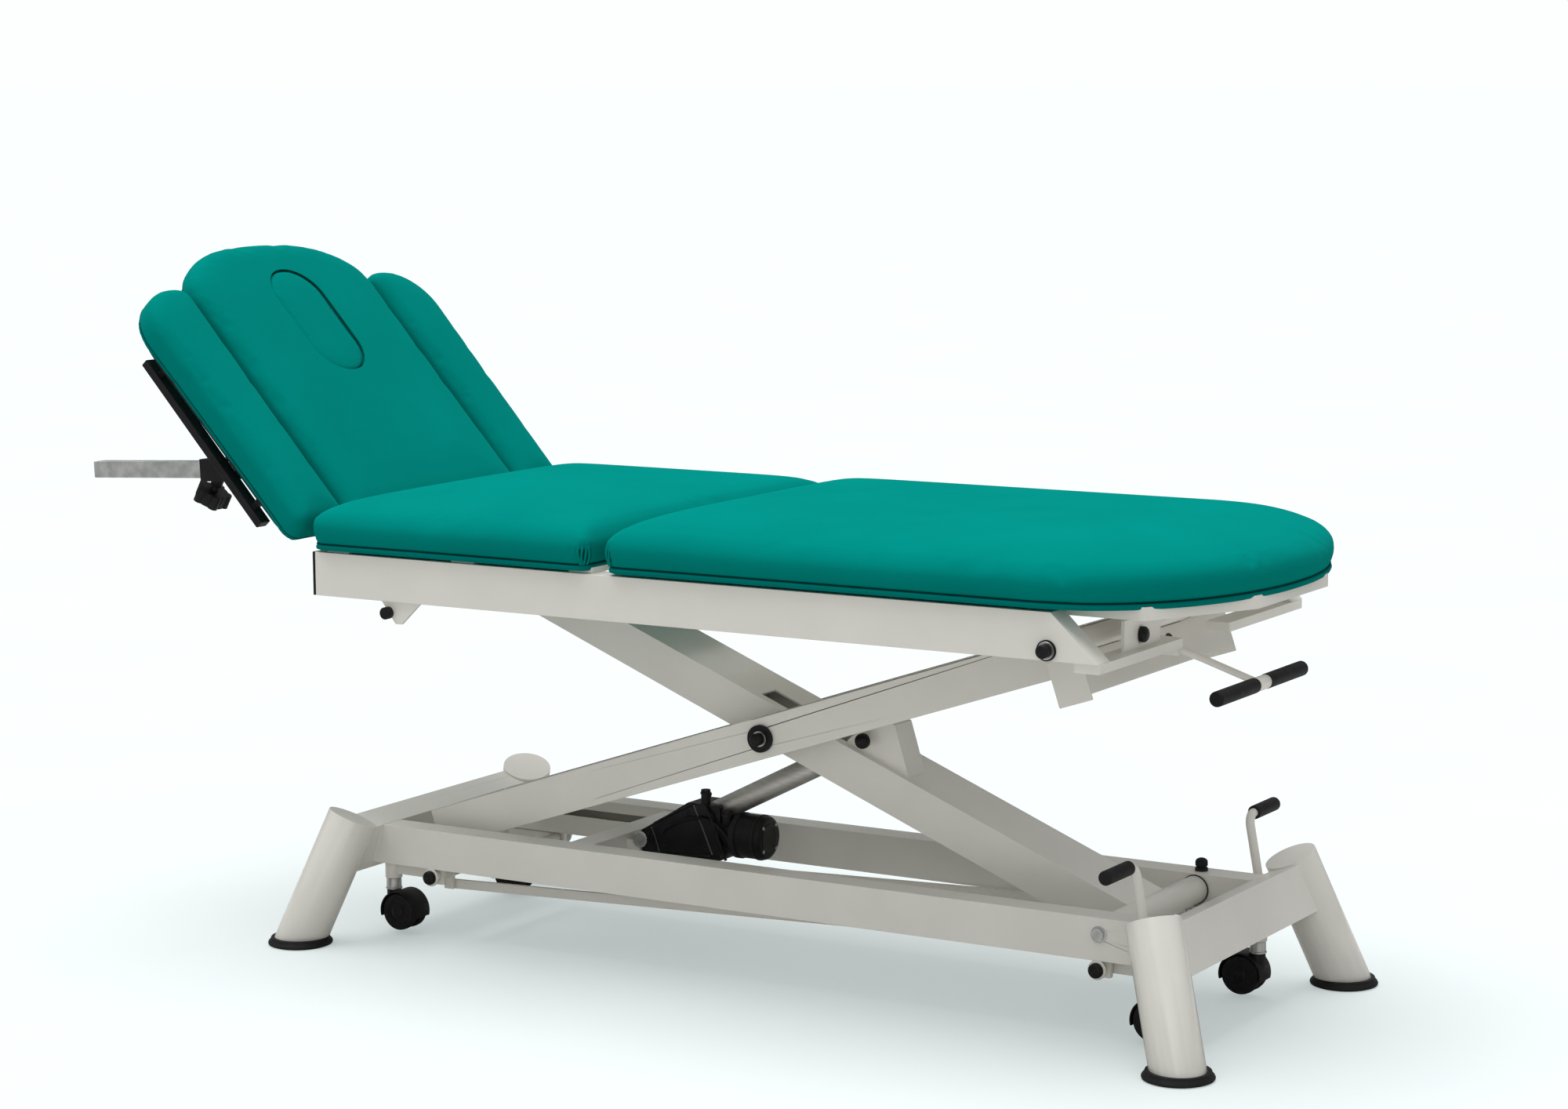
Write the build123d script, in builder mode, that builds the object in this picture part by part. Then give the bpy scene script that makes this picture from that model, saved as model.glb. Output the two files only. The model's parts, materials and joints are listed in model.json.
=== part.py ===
from build123d import *
import math
import os

os.makedirs("parts", exist_ok=True)

# Electric examination couch: a scissor lift on a low base carries an upper frame
# with a seat, a long leg section and a raised backrest with two sliding arm pads.
# X points to the foot end, Y to the left of a person lying on their back, Z up.
# Below, x is counted from the middle of the base; each piece is written with
# frame_shift added and floor_z taken off, so the origin is on the floor under the
# middle of the whole couch.

# ---- driving dimensions, millimetres ----
frame_shift = 148.315
floor_z = 8.0
running = 0.1
seat_gap = 0.3
side_gap = 1.0

# base
base_rail_half = 176.0
base_rail_wide = 42.0
base_rail_bottom = 120.8
base_rail_high = 60.0
base_rail_reach = 649.0
tube_wall = 3.0
leg_top = (667.0, 228.0, 200.0)
leg_foot = (729.5, 281.0, 16.0)
leg_radius = 38.0
leg_cut = 11.0
foot_radius = 49.0
foot_high = 12.0
member_high = 72.0
member_thick = 45.0
member_rake = 18.7
lift_member_x = -318.0
lift_member_size = 40.0
slot_high = 12.4
slot_foot_x = -366.0
slot_head_x = -645.0
buffer_radius = 9.0
buffer_high = 19.0

# scissor
pivot_x = 562.0
pivot_z = 157.8
pivot_half = 607.9
pivot_angle = 19.78
outer_arm_slope = 18.48
inner_arm_slope = 21.84
arm_high = 60.0
outer_arm_face = 114.0
outer_arm_thick = 30.0
inner_arm_half = 56.0
pivot_tube_radius = 20.0
pivot_bolt_radius = 6.0
axle_radius = 5.5
base_roller_radius = 19.6
upper_roller_radius = 10.7
roller_wide = 30.0
cross_beam_half = 229.0
cross_beam_long = 52.0
cross_beam_high = 56.0
cross_beam_top = -3.0
beam_end_drop = 8.0
centre_disc_radius = 20.0
centre_stub_radius = 12.0
upper_axle_radius = 9.0
upper_tube_radius = 15.0
cap_radius = 9.0

# upper frame
rail_half = 335.0
rail_wide = 38.0
rail_bottom = 555.2
rail_top = 619.7
rail_head_x = -642.0
rail_foot_top_x = 567.0
rail_foot_bottom_x = 635.0
cap_thick = 5.0
flat_bar_wide = 40.0
board_bottom = 628.0
board_thick = 12.0
pad_top = 700.0
pad_half = 350.0
seat_head_x = -640.0
seat_foot_x = -156.0
leg_pad_head_x = -120.0
board_inset = 4.0
leg_pad_foot_x = 792.0
leg_pad_bow = 110.0
leg_pad_round = 150.0
pad_corner = 22.0
pad_edge_round = 21.0
back_edge_round = 18.0

# leg section
leg_hinge_x = -118.0
leg_hinge_z = 616.0
tray_half = 288.0
tray_bottom = 610.0
tray_wall = 2.0
tray_side_end_x = 680.0
tray_end_x = 764.0
tray_end_half = 118.0
spring_anchor = (340.0, 575.0)
spring_eye = (60.0, 592.0)
spring_side = 30.0
spring_radius = 11.0
spring_rod_radius = 5.0
spring_body_long = 175.0

# release lever
lever_y = -62.0
lever_points = [(598.0, 543.0), (614.0, 540.0), (662.0, 526.0), (743.0, 500.0)]
lever_radius = 5.0
lever_pivot = (614.0, 540.0)
lever_bend = 40.0
grip_long = 125.0
grip_radius = 10.0
tee_long = 34.0

# backrest
back_hinge_x = -685.0
back_hinge_z = 645.0
back_angle = 47.5
back_start = -14.0
back_end = 527.0
back_under = -17.0
back_top = 36.0
back_half = 215.0
back_corner = 455.0
back_round = 52.0
plug_from = 249.0
plug_to = 459.0
plug_wide = 118.0
hinge_plate = 3.0
hinge_side = 217.0
hinge_pin_radius = 4.0
frame_tube = 25.0
arm_inner = 225.0
arm_end = 452.0
arm_outer_round = 85.0
arm_inner_round = 25.0
clamp_side = 300.0
clamp_tube = 25.0
clamp_wall = 2.0
clamp_start = (-806.0, 729.3)
clamp_free = (-1088.0, 715.0)
socket_long = 45.0
socket_wall = 4.0
socket_from_start = 22.0
arm_bar_from = 45.0
arm_bar_to = 362.0
arm_bar_under = -43.0
arm_bar_thick = 12.0
arm_bar_inset = 32.0
arm_bar_wide = 22.0
knob_radius = 28.0
knob_high = 21.0
knob_lean = 28.0
knob_boss = 28.0

# actuator
motor_side = -20.0
motor_pin = (-276.0, 158.0)
motor_lug_round = 11.0
bracket_pin = (124.0, 361.0)
bracket_outline = [(96.0, 30.0), (112.0, 62.0), (150.0, 90.0), (160.0, 90.0), (208.0, 30.0)]
bracket_hollow = [(96.0, 30.0), (96.0, 88.0), (148.0, 88.0), (156.0, 84.0), (202.0, 30.0)]
cheek_thick = 4.0
cap_high = 10.0
slot_half = 20.0
slot_from = -60.0
slot_to = 142.0
motor_radius = 33.0
housing_half = 26.0
outer_tube_radius = 17.0
inner_rod_radius = 11.0
eye_half = 12.0
eye_radius = 14.0
housing_outline = [(-290.0, 150.0), (-290.0, 174.0), (-222.0, 214.0), (-180.0, 240.0), (-124.0, 240.0)]
housing_outline += [(-124.0, 156.0), (-208.0, 150.0)]
motor_from_x = -123.0
motor_to_x = -54.0
motor_z = 194.0
motor_caps = ((-150.0, 240.2), (-114.0, 212.0))
tube_from = 180.0
tube_to = 350.0
rod_inside = 230.0

# castor lift
castor_shaft_x = 560.0
castor_shaft_z = 108.5
castor_shaft_radius = 8.0
castor_arm = 95.0
castor_side = 145.0
castor_trail = 20.0
castor_axle_z = 43.0
castor_wheel_radius = 28.0
castor_wheel_wide = 15.0
castor_web = 8.0
castor_stem_radius = 6.0
castor_crank = 20.0
pedal_shaft = (640.0, 148.0)
pedal_shaft_radius = 7.0
pedal_side = 187.0
pedal_rod_radius = 6.5
pedal_bend = 16.0
pedal_points = [(640.0, 148.0), (634.0, 186.0), (620.0, 262.0)]
pedal_grip_long = 92.0
pedal_grip_radius = 10.0
link_side = 122.0
link_thick = 6.0
link_half_high = 7.0
link_pin_radius = 3.5
link_pin_play = 2.0

head_bar_x = (-672.0, -650.0)
head_bar_z = (580.0, 604.0)
upper_slot_foot_x = -424.0
foot_bar_x = (600.0, 636.0)
foot_bar_gap = 76.0
foot_bar_thick = 13.0
tray_bar_x = (352.0, 376.0)
flat_bars = ((-605.0, 70.0), (-380.0, 0.0), (-175.0, 0.0))
stop_plate = ((-525.0, 0.0), (-500.0, 33.0), (-490.0, 33.0), (-455.0, 0.0))
stop_cap = (-512.0, 17.0)
tray_head_x = -126.0
plug_proud = 2.0

# ---- derived places ----
sin_pivot = math.sin(math.radians(pivot_angle))
cos_pivot = math.cos(math.radians(pivot_angle))
centre_x = pivot_x - pivot_half * cos_pivot
centre_z = pivot_z + pivot_half * sin_pivot
roller_x = pivot_x - 2 * pivot_half * cos_pivot
upper_z = pivot_z + 2 * pivot_half * sin_pivot
rail_inner = rail_half - rail_wide
base_inner = base_rail_half - base_rail_wide
base_rail_top = base_rail_bottom + base_rail_high
board_top = board_bottom + board_thick
full_depth = (Align.CENTER, Align.CENTER, Align.MIN)


def slanted(origin_x, origin_z, slope):
    """An upright plane seen from the right, its x axis rising towards the foot by slope degrees."""
    turn = math.radians(slope)
    return Plane(
        origin=(origin_x, 0, origin_z), x_dir=(math.cos(turn), 0, math.sin(turn)), z_dir=(0, -1, 0)
    )


outer_plane = slanted(centre_x, centre_z, outer_arm_slope)
inner_plane = slanted(centre_x, centre_z, -inner_arm_slope)
back_turn = math.radians(back_angle)
back_along = Vector(-math.cos(back_turn), 0, math.sin(back_turn))
back_normal = Vector(math.sin(back_turn), 0, math.cos(back_turn))
back_hinge = Vector(back_hinge_x, 0, back_hinge_z)
back_plan = Plane(origin=back_hinge, x_dir=back_along, z_dir=back_normal)


def on_back(along, up, y=0.0):
    """The point at these distances along and above the backrest's hinge line."""
    return back_hinge + back_along * along + back_normal * up + Vector(0, y, 0)


def save(piece, name):
    """Write one piece under its own name, in the frame of the whole couch."""
    shifted = piece.part.moved(Location((frame_shift, 0, -floor_z)))
    shifted.label = name
    export_step(shifted, f"parts/{name}.step")


def block(x, y, z, mode=Mode.ADD):
    """A square bar that fills the given lower and upper limits."""
    with Locations(((x[0] + x[1]) / 2, (y[0] + y[1]) / 2, (z[0] + z[1]) / 2)):
        Box(x[1] - x[0], y[1] - y[0], z[1] - z[0], mode=mode)


def rod(start, end, radius, mode=Mode.ADD):
    """A straight round bar between two points."""
    run = Vector(*end) - Vector(*start)
    with Locations(Plane(origin=start, z_dir=run).location):
        Cylinder(radius, run.length, align=full_depth, mode=mode)


def cross_rod(x, z, y_from, y_to, radius, mode=Mode.ADD):
    """A round bar across the couch at x, z."""
    rod((x, y_from, z), (x, y_to, z), radius, mode)


def both_sides(x, z, y_from, y_to, radius, mode=Mode.ADD):
    """The same round bar on the right and on the left."""
    cross_rod(x, z, y_from, y_to, radius, mode)
    cross_rod(x, z, -y_from, -y_to, radius, mode)


def bent_rod(points, radius, bend):
    """A round bar through the points, its corners bent to one radius."""
    with BuildLine(mode=Mode.PRIVATE) as route:
        FilletPolyline(*points, radius=bend)
    with BuildSketch(
        Plane(origin=points[0], z_dir=Vector(*points[1]) - Vector(*points[0])), mode=Mode.PRIVATE
    ) as end:
        Circle(radius)
    sweep(end.sketch, path=route.line)


# ---- base ----
rake = math.radians(member_rake)
rake_drop = (member_high * math.sin(rake), -member_high * math.cos(rake))
rake_out = (member_thick * math.cos(rake), member_thick * math.sin(rake))
rail_slant = base_rail_high * math.tan(rake)
inner_top = (base_rail_reach, base_rail_top)
outer_top = (inner_top[0] + rake_out[0], inner_top[1] + rake_out[1])
outer_bottom = (outer_top[0] + rake_drop[0], outer_top[1] + rake_drop[1])
inner_bottom = (inner_top[0] + rake_drop[0], inner_top[1] + rake_drop[1])
leg_run = Vector(*leg_foot) - Vector(*leg_top)
leg_low = Vector(*leg_top) + leg_run * 1.3


def leg_rods(radius, shorter=0.0, mode=Mode.ADD):
    """The four raked legs, each as a round bar from below its cap."""
    start = Vector(*leg_top) + leg_run.normalized() * shorter
    for sx in (-1, 1):
        for sy in (-1, 1):
            rod(
                (sx * start.X, sy * start.Y, start.Z),
                (sx * leg_low.X, sy * leg_low.Y, leg_low.Z),
                radius,
                mode,
            )


with BuildPart() as base_rails:
    with BuildSketch(Plane.XZ.offset(base_inner)):
        Polygon(
            (-base_rail_reach, base_rail_top),
            (base_rail_reach, base_rail_top),
            (base_rail_reach + rail_slant, base_rail_bottom),
            (-base_rail_reach - rail_slant, base_rail_bottom),
            align=None,
        )
    extrude(amount=base_rail_wide)
    void_y = (-base_rail_half + tube_wall, -base_inner - tube_wall)
    void_z = (base_rail_bottom + tube_wall, base_rail_top - tube_wall)
    block((slot_head_x, base_rail_reach - tube_wall), void_y, void_z, Mode.SUBTRACT)
    slot_z = (pivot_z - slot_high / 2, pivot_z + slot_high / 2)
    block((slot_head_x, slot_foot_x), (-base_inner - tube_wall, -base_inner), slot_z, Mode.SUBTRACT)
    cross_rod(
        pivot_x, pivot_z, -base_rail_half, -base_inner, pivot_bolt_radius + running, Mode.SUBTRACT
    )
    cross_rod(
        *pedal_shaft, -base_rail_half, -base_inner, pedal_shaft_radius + running, Mode.SUBTRACT
    )
    track_top = pivot_z - base_roller_radius - seat_gap
    block((slot_head_x, slot_foot_x), void_y, (void_z[0], track_top))
    mirror(about=Plane.XZ)
save(base_rails, "base_rails")

with BuildPart() as base_cross_members:
    for way in (-1, 1):
        with BuildSketch(Plane.XZ.offset(-leg_top[1])):
            Polygon(
                *[(way * x, z) for x, z in (inner_top, outer_top, outer_bottom, inner_bottom)],
                align=None,
            )
        extrude(amount=2 * leg_top[1])
    leg_rods(leg_radius + seat_gap, mode=Mode.SUBTRACT)
    half = lift_member_size / 2
    member_z = (base_rail_top - tube_wall - lift_member_size, base_rail_top - tube_wall)
    member_x = (lift_member_x - half, lift_member_x + half)
    block(member_x, (-base_inner, base_inner), member_z)
    inside = (member_z[0] + tube_wall, member_z[1] - tube_wall)
    block(
        (member_x[0] + tube_wall, member_x[1] - tube_wall), (-base_inner, base_inner), inside, Mode.SUBTRACT
    )
    for side in (-1, 1):
        lug_y = sorted((motor_side + side * 9, motor_side + side * 15))
        block(
            (member_x[1], motor_pin[0]),
            lug_y,
            (motor_pin[1] - motor_lug_round, motor_pin[1] + motor_lug_round),
        )
        cross_rod(*motor_pin, *lug_y, motor_lug_round)
    cross_rod(*motor_pin, motor_side - 20, motor_side + 20, pivot_bolt_radius)
save(base_cross_members, "base_cross_members")

with BuildPart() as legs:
    leg_rods(leg_radius)
    split(bisect_by=Plane.XY.offset(leg_cut), keep=Keep.TOP)
    leg_rods(leg_radius - tube_wall, shorter=tube_wall, mode=Mode.SUBTRACT)
save(legs, "legs")

with BuildPart() as rubber_feet:
    reach = (leg_top[2] - floor_z - foot_high / 2) / (leg_top[2] - leg_foot[2])
    foot_at = Vector(*leg_top) + leg_run * reach
    feet_at = [(sx * foot_at.X, sy * foot_at.Y, floor_z) for sx in (-1, 1) for sy in (-1, 1)]
    with Locations(*feet_at):
        Cylinder(foot_radius, foot_high, align=full_depth)
    leg_rods(leg_radius + seat_gap, mode=Mode.SUBTRACT)
    with Locations(*feet_at):
        Cylinder(foot_radius, leg_cut - floor_z, align=full_depth)
    with Locations((pivot_x, base_rail_half - base_rail_wide / 2, base_rail_top)):
        Cylinder(buffer_radius, buffer_high, align=full_depth)
save(rubber_feet, "rubber_feet_and_buffer")

with BuildPart() as base_pivot_bolts:
    bolt_end = base_inner - tube_wall
    both_sides(pivot_x, pivot_z, bolt_end - 30, base_rail_half + side_gap, pivot_bolt_radius)
    both_sides(pivot_x, pivot_z, base_rail_half, base_rail_half + 6, cap_radius)
save(base_pivot_bolts, "base_pivot_bolts")

with BuildPart() as castor_bearing_lugs:
    for way in (-1, 1):
        for side in (-1, 1):
            lug_x = (way * castor_shaft_x - 14, way * castor_shaft_x + 14)
            lug_y = (side * 160 - 4, side * 160 + 4)
            block(lug_x, lug_y, (castor_shaft_z - 13, base_rail_bottom))
            cross_rod(
                way * castor_shaft_x,
                castor_shaft_z,
                lug_y[0],
                lug_y[1],
                castor_shaft_radius + running,
                Mode.SUBTRACT,
            )
save(castor_bearing_lugs, "castor_bearing_lugs")

# ---- castor lift ----
link_slope = 2 * castor_crank / (2 * castor_shaft_x)
pedal_pin_z = castor_shaft_z + link_slope * pedal_shaft[0]


def castor_shaft(way):
    """One cross shaft with its two castor arms, sockets and link cranks."""
    shaft_x = way * castor_shaft_x
    block_x = way * (castor_shaft_x + castor_arm)
    pin_z = castor_shaft_z + way * castor_crank
    with BuildPart() as shaft:
        cross_rod(shaft_x, castor_shaft_z, -base_rail_half, base_rail_half, castor_shaft_radius)
        for side in (-1, 1):
            arm_x = sorted((shaft_x, block_x))
            block(
                arm_x,
                (side * castor_side - 5, side * castor_side + 5),
                (castor_shaft_z - 9, castor_shaft_z + 9),
            )
            rod(
                (block_x, side * castor_side, castor_shaft_z - 16),
                (block_x, side * castor_side, castor_shaft_z + 9.5),
                13,
            )
            rod(
                (block_x, side * castor_side, castor_shaft_z - 16),
                (block_x, side * castor_side, castor_shaft_z + 6),
                castor_stem_radius + running,
                Mode.SUBTRACT,
            )
            crank_y = sorted((side * (link_side + 5), side * (link_side + 11)))
            crank_z = sorted((castor_shaft_z, pin_z + way * 6))
            block((shaft_x - 8, shaft_x + 8), crank_y, crank_z)
            cross_rod(shaft_x, pin_z, side * (link_side - 4), side * (link_side + 6), link_pin_radius)
    return shaft


for end, way in (("head", -1), ("foot", 1)):
    save(castor_shaft(way), f"castor_shaft_{end}")

with BuildPart() as castor_links:
    link_plane = slanted(0, castor_shaft_z, math.degrees(math.atan(link_slope)))
    with BuildSketch(link_plane.offset(link_side - link_thick / 2)):
        with Locations(((pedal_shaft[0] - castor_shaft_x) / 2, 0)):
            SlotOverall(pedal_shaft[0] + castor_shaft_x + 2 * link_half_high, 2 * link_half_high)
        with Locations((-castor_shaft_x, 0), (castor_shaft_x, 0), (pedal_shaft[0], 0)):
            Circle(link_pin_radius + link_pin_play, mode=Mode.SUBTRACT)
    extrude(amount=link_thick)
    mirror(about=Plane.XZ)
save(castor_links, "castor_links")

with BuildPart() as pedal_lever:
    cross_rod(*pedal_shaft, -pedal_side, pedal_side, pedal_shaft_radius)
    for side in (-1, 1):
        grip_end = (
            pedal_points[-1][0], side * (pedal_side + pedal_grip_long - 4), pedal_points[-1][1]
        )
        route = [(x, side * pedal_side, z) for x, z in pedal_points] + [grip_end]
        bent_rod(route, pedal_rod_radius, pedal_bend)
        cross_rod(
            *pedal_shaft, side * (pedal_side - 9), side * (pedal_side + 9), pedal_shaft_radius + 5
        )
        crank_y = sorted((side * (link_side + 5), side * (link_side + 11)))
        block((pedal_shaft[0] - 9, pedal_shaft[0] + 9), crank_y, (pedal_pin_z - 6, pedal_shaft[1] + 9))
        cross_rod(
            pedal_shaft[0],
            pedal_pin_z,
            side * (link_side - 4),
            side * (link_side + 6),
            link_pin_radius,
        )
save(pedal_lever, "pedal_lever")

with BuildPart() as pedal_grips:
    tip = pedal_points[-1]
    grip_from = pedal_side + pedal_bend + side_gap
    both_sides(tip[0], tip[1], grip_from, pedal_side + pedal_grip_long, pedal_grip_radius)
    fillet(pedal_grips.edges().filter_by(GeomType.CIRCLE), 3)
    grip_bore = pedal_side + pedal_grip_long - 4
    both_sides(tip[0], tip[1], pedal_side, grip_bore, pedal_rod_radius, Mode.SUBTRACT)
save(pedal_grips, "pedal_grips")


def castor_fork(way, side):
    """The swivelling hood of one twin-wheel castor, with its stem."""
    stem_x = way * (castor_shaft_x + castor_arm)
    axle_x = stem_x - way * castor_trail
    y = side * castor_side
    hood = castor_wheel_radius + 2
    hood_half = castor_wheel_wide + castor_web / 2 + 1
    web = castor_web / 2 - running
    with BuildPart() as fork:
        cross_rod(axle_x, castor_axle_z, y - hood_half, y + hood_half, hood + 2)
        rod((stem_x, y, castor_axle_z), (stem_x, y, castor_shaft_z - 16.5), 11)
        cross_rod(axle_x, castor_axle_z, y - hood_half, y - web, hood, Mode.SUBTRACT)
        cross_rod(axle_x, castor_axle_z, y + web, y + hood_half, hood, Mode.SUBTRACT)
        below = (castor_axle_z - hood - 4, castor_axle_z - 8)
        block((axle_x - 2 * hood, axle_x + 2 * hood), (y - hood, y + hood), below, Mode.SUBTRACT)
        cross_rod(axle_x, castor_axle_z, y - web, y + web, 4 + running, Mode.SUBTRACT)
        rod((stem_x, y, castor_shaft_z - 17), (stem_x, y, castor_shaft_z + 5.5), castor_stem_radius)
    return fork


def castor_wheel(way, side):
    """Both wheels of one castor on their axle."""
    axle_x = way * (castor_shaft_x + castor_arm - castor_trail)
    y = side * castor_side
    with BuildPart() as wheel:
        for face in (-1, 1):
            inner = y + face * castor_web / 2
            cross_rod(
                axle_x, castor_axle_z, inner, inner + face * castor_wheel_wide, castor_wheel_radius
            )
        fillet(wheel.edges().filter_by(GeomType.CIRCLE), 2.5)
        cross_rod(axle_x, castor_axle_z, y - castor_web, y + castor_web, 4)
    return wheel


for end, way in (("head", -1), ("foot", 1)):
    for hand, side in (("right", -1), ("left", 1)):
        save(castor_fork(way, side), f"castor_fork_{end}_{hand}")
        save(castor_wheel(way, side), f"castor_wheel_{end}_{hand}")

# ---- scissor: inner arm ----
upper_roller_y = (rail_half - tube_wall - side_gap - roller_wide, rail_half - tube_wall - side_gap)
base_roller_y = (base_inner + tube_wall + side_gap, base_inner + tube_wall + side_gap + roller_wide)

with BuildPart() as inner_arm:
    with BuildSketch(inner_plane.offset(-inner_arm_half)):
        with Locations((-12, 0)):
            Rectangle(2 * pivot_half, arm_high)
    extrude(amount=2 * inner_arm_half)
    with BuildSketch(inner_plane.offset(-inner_arm_half + tube_wall)):
        with Locations((-12, 0)):
            Rectangle(2 * pivot_half + 2, arm_high - 2 * tube_wall)
    extrude(amount=2 * (inner_arm_half - tube_wall), mode=Mode.SUBTRACT)
    cross_rod(pivot_x, pivot_z, -base_inner, base_inner, pivot_tube_radius + seat_gap, Mode.SUBTRACT)
    cross_rod(roller_x, upper_z, -rail_inner, rail_inner, upper_axle_radius + seat_gap, Mode.SUBTRACT)
    stub_bore = centre_stub_radius + running
    cross_rod(centre_x, centre_z, -inner_arm_half, inner_arm_half, stub_bore, Mode.SUBTRACT)
    with BuildSketch(inner_plane.offset(-motor_side - slot_half)):
        with Locations(((slot_from + slot_to) / 2, 0)):
            Rectangle(slot_to - slot_from, arm_high)
    extrude(amount=2 * slot_half, mode=Mode.SUBTRACT)
save(inner_arm, "inner_arm")

with BuildPart() as base_pivot_tube:
    tube_end = base_inner - 2 * side_gap
    cross_rod(pivot_x, pivot_z, -tube_end, tube_end, pivot_tube_radius)
    cross_rod(pivot_x, pivot_z, -tube_end, tube_end, pivot_bolt_radius + running, Mode.SUBTRACT)
save(base_pivot_tube, "base_pivot_tube")

with BuildPart() as inner_arm_axle:
    cross_rod(
        roller_x, upper_z, -rail_inner + 3 * side_gap, rail_inner - 3 * side_gap, upper_axle_radius
    )
    cross_rod(roller_x, upper_z, -upper_roller_y[1], upper_roller_y[1], axle_radius)
save(inner_arm_axle, "inner_arm_axle")

with BuildPart() as upper_rollers:
    both_sides(roller_x, upper_z, upper_roller_y[0], upper_roller_y[1] - 1, upper_roller_radius)
    both_sides(
        roller_x, upper_z, upper_roller_y[0], upper_roller_y[1], axle_radius + running, Mode.SUBTRACT
    )
save(upper_rollers, "upper_rollers")

with BuildPart() as actuator_bracket:
    cheek_y = motor_side - slot_half - cheek_thick - seat_gap
    with BuildSketch(inner_plane.offset(-cheek_y - 2 * (slot_half + cheek_thick + seat_gap))):
        Polygon(*bracket_outline, align=None)
    extrude(amount=2 * (slot_half + cheek_thick + seat_gap))
    with BuildSketch(inner_plane.offset(-motor_side - slot_half - seat_gap)):
        Polygon(*bracket_hollow, align=None)
    extrude(amount=2 * (slot_half + seat_gap), mode=Mode.SUBTRACT)
    for side in (-1, 1):
        face = motor_side + side * (slot_half + seat_gap)
        cross_rod(
            bracket_pin[0], bracket_pin[1], face, face + side * (cheek_thick + cap_high), cap_radius
        )
save(actuator_bracket, "actuator_bracket")

# ---- scissor: outer arms ----
with BuildPart() as outer_arms:
    with BuildSketch(outer_plane.offset(outer_arm_face - outer_arm_thick)):
        with BuildLine():
            Polyline(
                (-pivot_half - 10, -arm_high / 2),
                (pivot_half - cross_beam_long - 11, -arm_high / 2),
                (pivot_half - cross_beam_long - 11, cross_beam_top + seat_gap),
                (pivot_half + 22, cross_beam_top + seat_gap),
                (pivot_half + 22, arm_high / 2),
                (-pivot_half - 10, arm_high / 2),
                close=True,
            )
        make_face()
    extrude(amount=outer_arm_thick)
    with BuildSketch(outer_plane.offset(outer_arm_face - outer_arm_thick + tube_wall)):
        with Locations((-20, 0)):
            Rectangle(2 * pivot_half - 240, arm_high - 2 * tube_wall)
    extrude(amount=outer_arm_thick - 2 * tube_wall, mode=Mode.SUBTRACT)
    arm_y = (-outer_arm_face, -outer_arm_face + outer_arm_thick)
    cross_rod(centre_x, centre_z, arm_y[0], arm_y[1], centre_stub_radius + seat_gap, Mode.SUBTRACT)
    cross_rod(roller_x, pivot_z, arm_y[0], arm_y[1], axle_radius + running, Mode.SUBTRACT)
    cross_rod(pivot_x, upper_z, arm_y[0], arm_y[1], upper_tube_radius + seat_gap, Mode.SUBTRACT)
    mirror(about=Plane.XZ)
save(outer_arms, "outer_arms")

with BuildPart() as centre_stubs:
    for side in (-1, 1):
        face = side * outer_arm_face
        cross_rod(centre_x, centre_z, side * (inner_arm_half - 8), face, centre_stub_radius)
        cross_rod(centre_x, centre_z, face, face + side * 6, centre_disc_radius)
        cross_rod(centre_x, centre_z, face, face + side * 14, cap_radius)
save(centre_stubs, "centre_stubs")

with BuildPart() as outer_arm_axle:
    cross_rod(roller_x, pivot_z, -base_roller_y[1], base_roller_y[1], axle_radius)
    spacer_end = outer_arm_face - outer_arm_thick
    cross_rod(roller_x, pivot_z, -spacer_end, spacer_end, axle_radius + 5)
save(outer_arm_axle, "outer_arm_axle")

with BuildPart() as base_rollers:
    both_sides(roller_x, pivot_z, base_roller_y[0], base_roller_y[1] - 1, base_roller_radius)
    both_sides(
        roller_x, pivot_z, base_roller_y[0], base_roller_y[1], axle_radius + running, Mode.SUBTRACT
    )
save(base_rollers, "base_rollers")

with BuildPart() as upper_cross_beam:
    beam_from = pivot_half - cross_beam_long - 10
    with BuildSketch(outer_plane.offset(-cross_beam_half)):
        with Locations((beam_from, cross_beam_top - cross_beam_high)):
            Rectangle(cross_beam_long, cross_beam_high, align=(Align.MIN, Align.MIN))
    extrude(amount=2 * cross_beam_half)
    with BuildSketch(outer_plane.offset(-cross_beam_half)):
        with Locations((beam_from + tube_wall, cross_beam_top - cross_beam_high + tube_wall)):
            Rectangle(
                cross_beam_long - 2 * tube_wall, cross_beam_high - 2 * tube_wall, align=(
                    Align.MIN, Align.MIN
                )
            )
    extrude(amount=2 * cross_beam_half, mode=Mode.SUBTRACT)
    with BuildSketch(outer_plane.offset(cross_beam_half)):
        with Locations((beam_from, cross_beam_top - cross_beam_high - beam_end_drop)):
            Rectangle(cross_beam_long, cross_beam_high + beam_end_drop, align=(Align.MIN, Align.MIN))
    extrude(amount=tube_wall)
    mirror(about=Plane.XZ)
save(upper_cross_beam, "upper_cross_beam")

with BuildPart() as upper_pivot_tube:
    tube_end = rail_inner - 2 * side_gap
    cross_rod(pivot_x, upper_z, -tube_end, tube_end, upper_tube_radius)
    cross_rod(pivot_x, upper_z, -tube_end, tube_end, pivot_bolt_radius + running, Mode.SUBTRACT)
save(upper_pivot_tube, "upper_pivot_tube")

# ---- actuator ----
rise = Vector(bracket_pin[0] - motor_pin[0], 0, bracket_pin[1] - motor_pin[1])
screw_start = Vector(motor_pin[0], motor_side, motor_pin[1])
screw_run = rise.normalized()


def on_screw(along):
    """The point on the actuator's axis at this distance from its rear pin."""
    return tuple(screw_start + screw_run * along)


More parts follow.
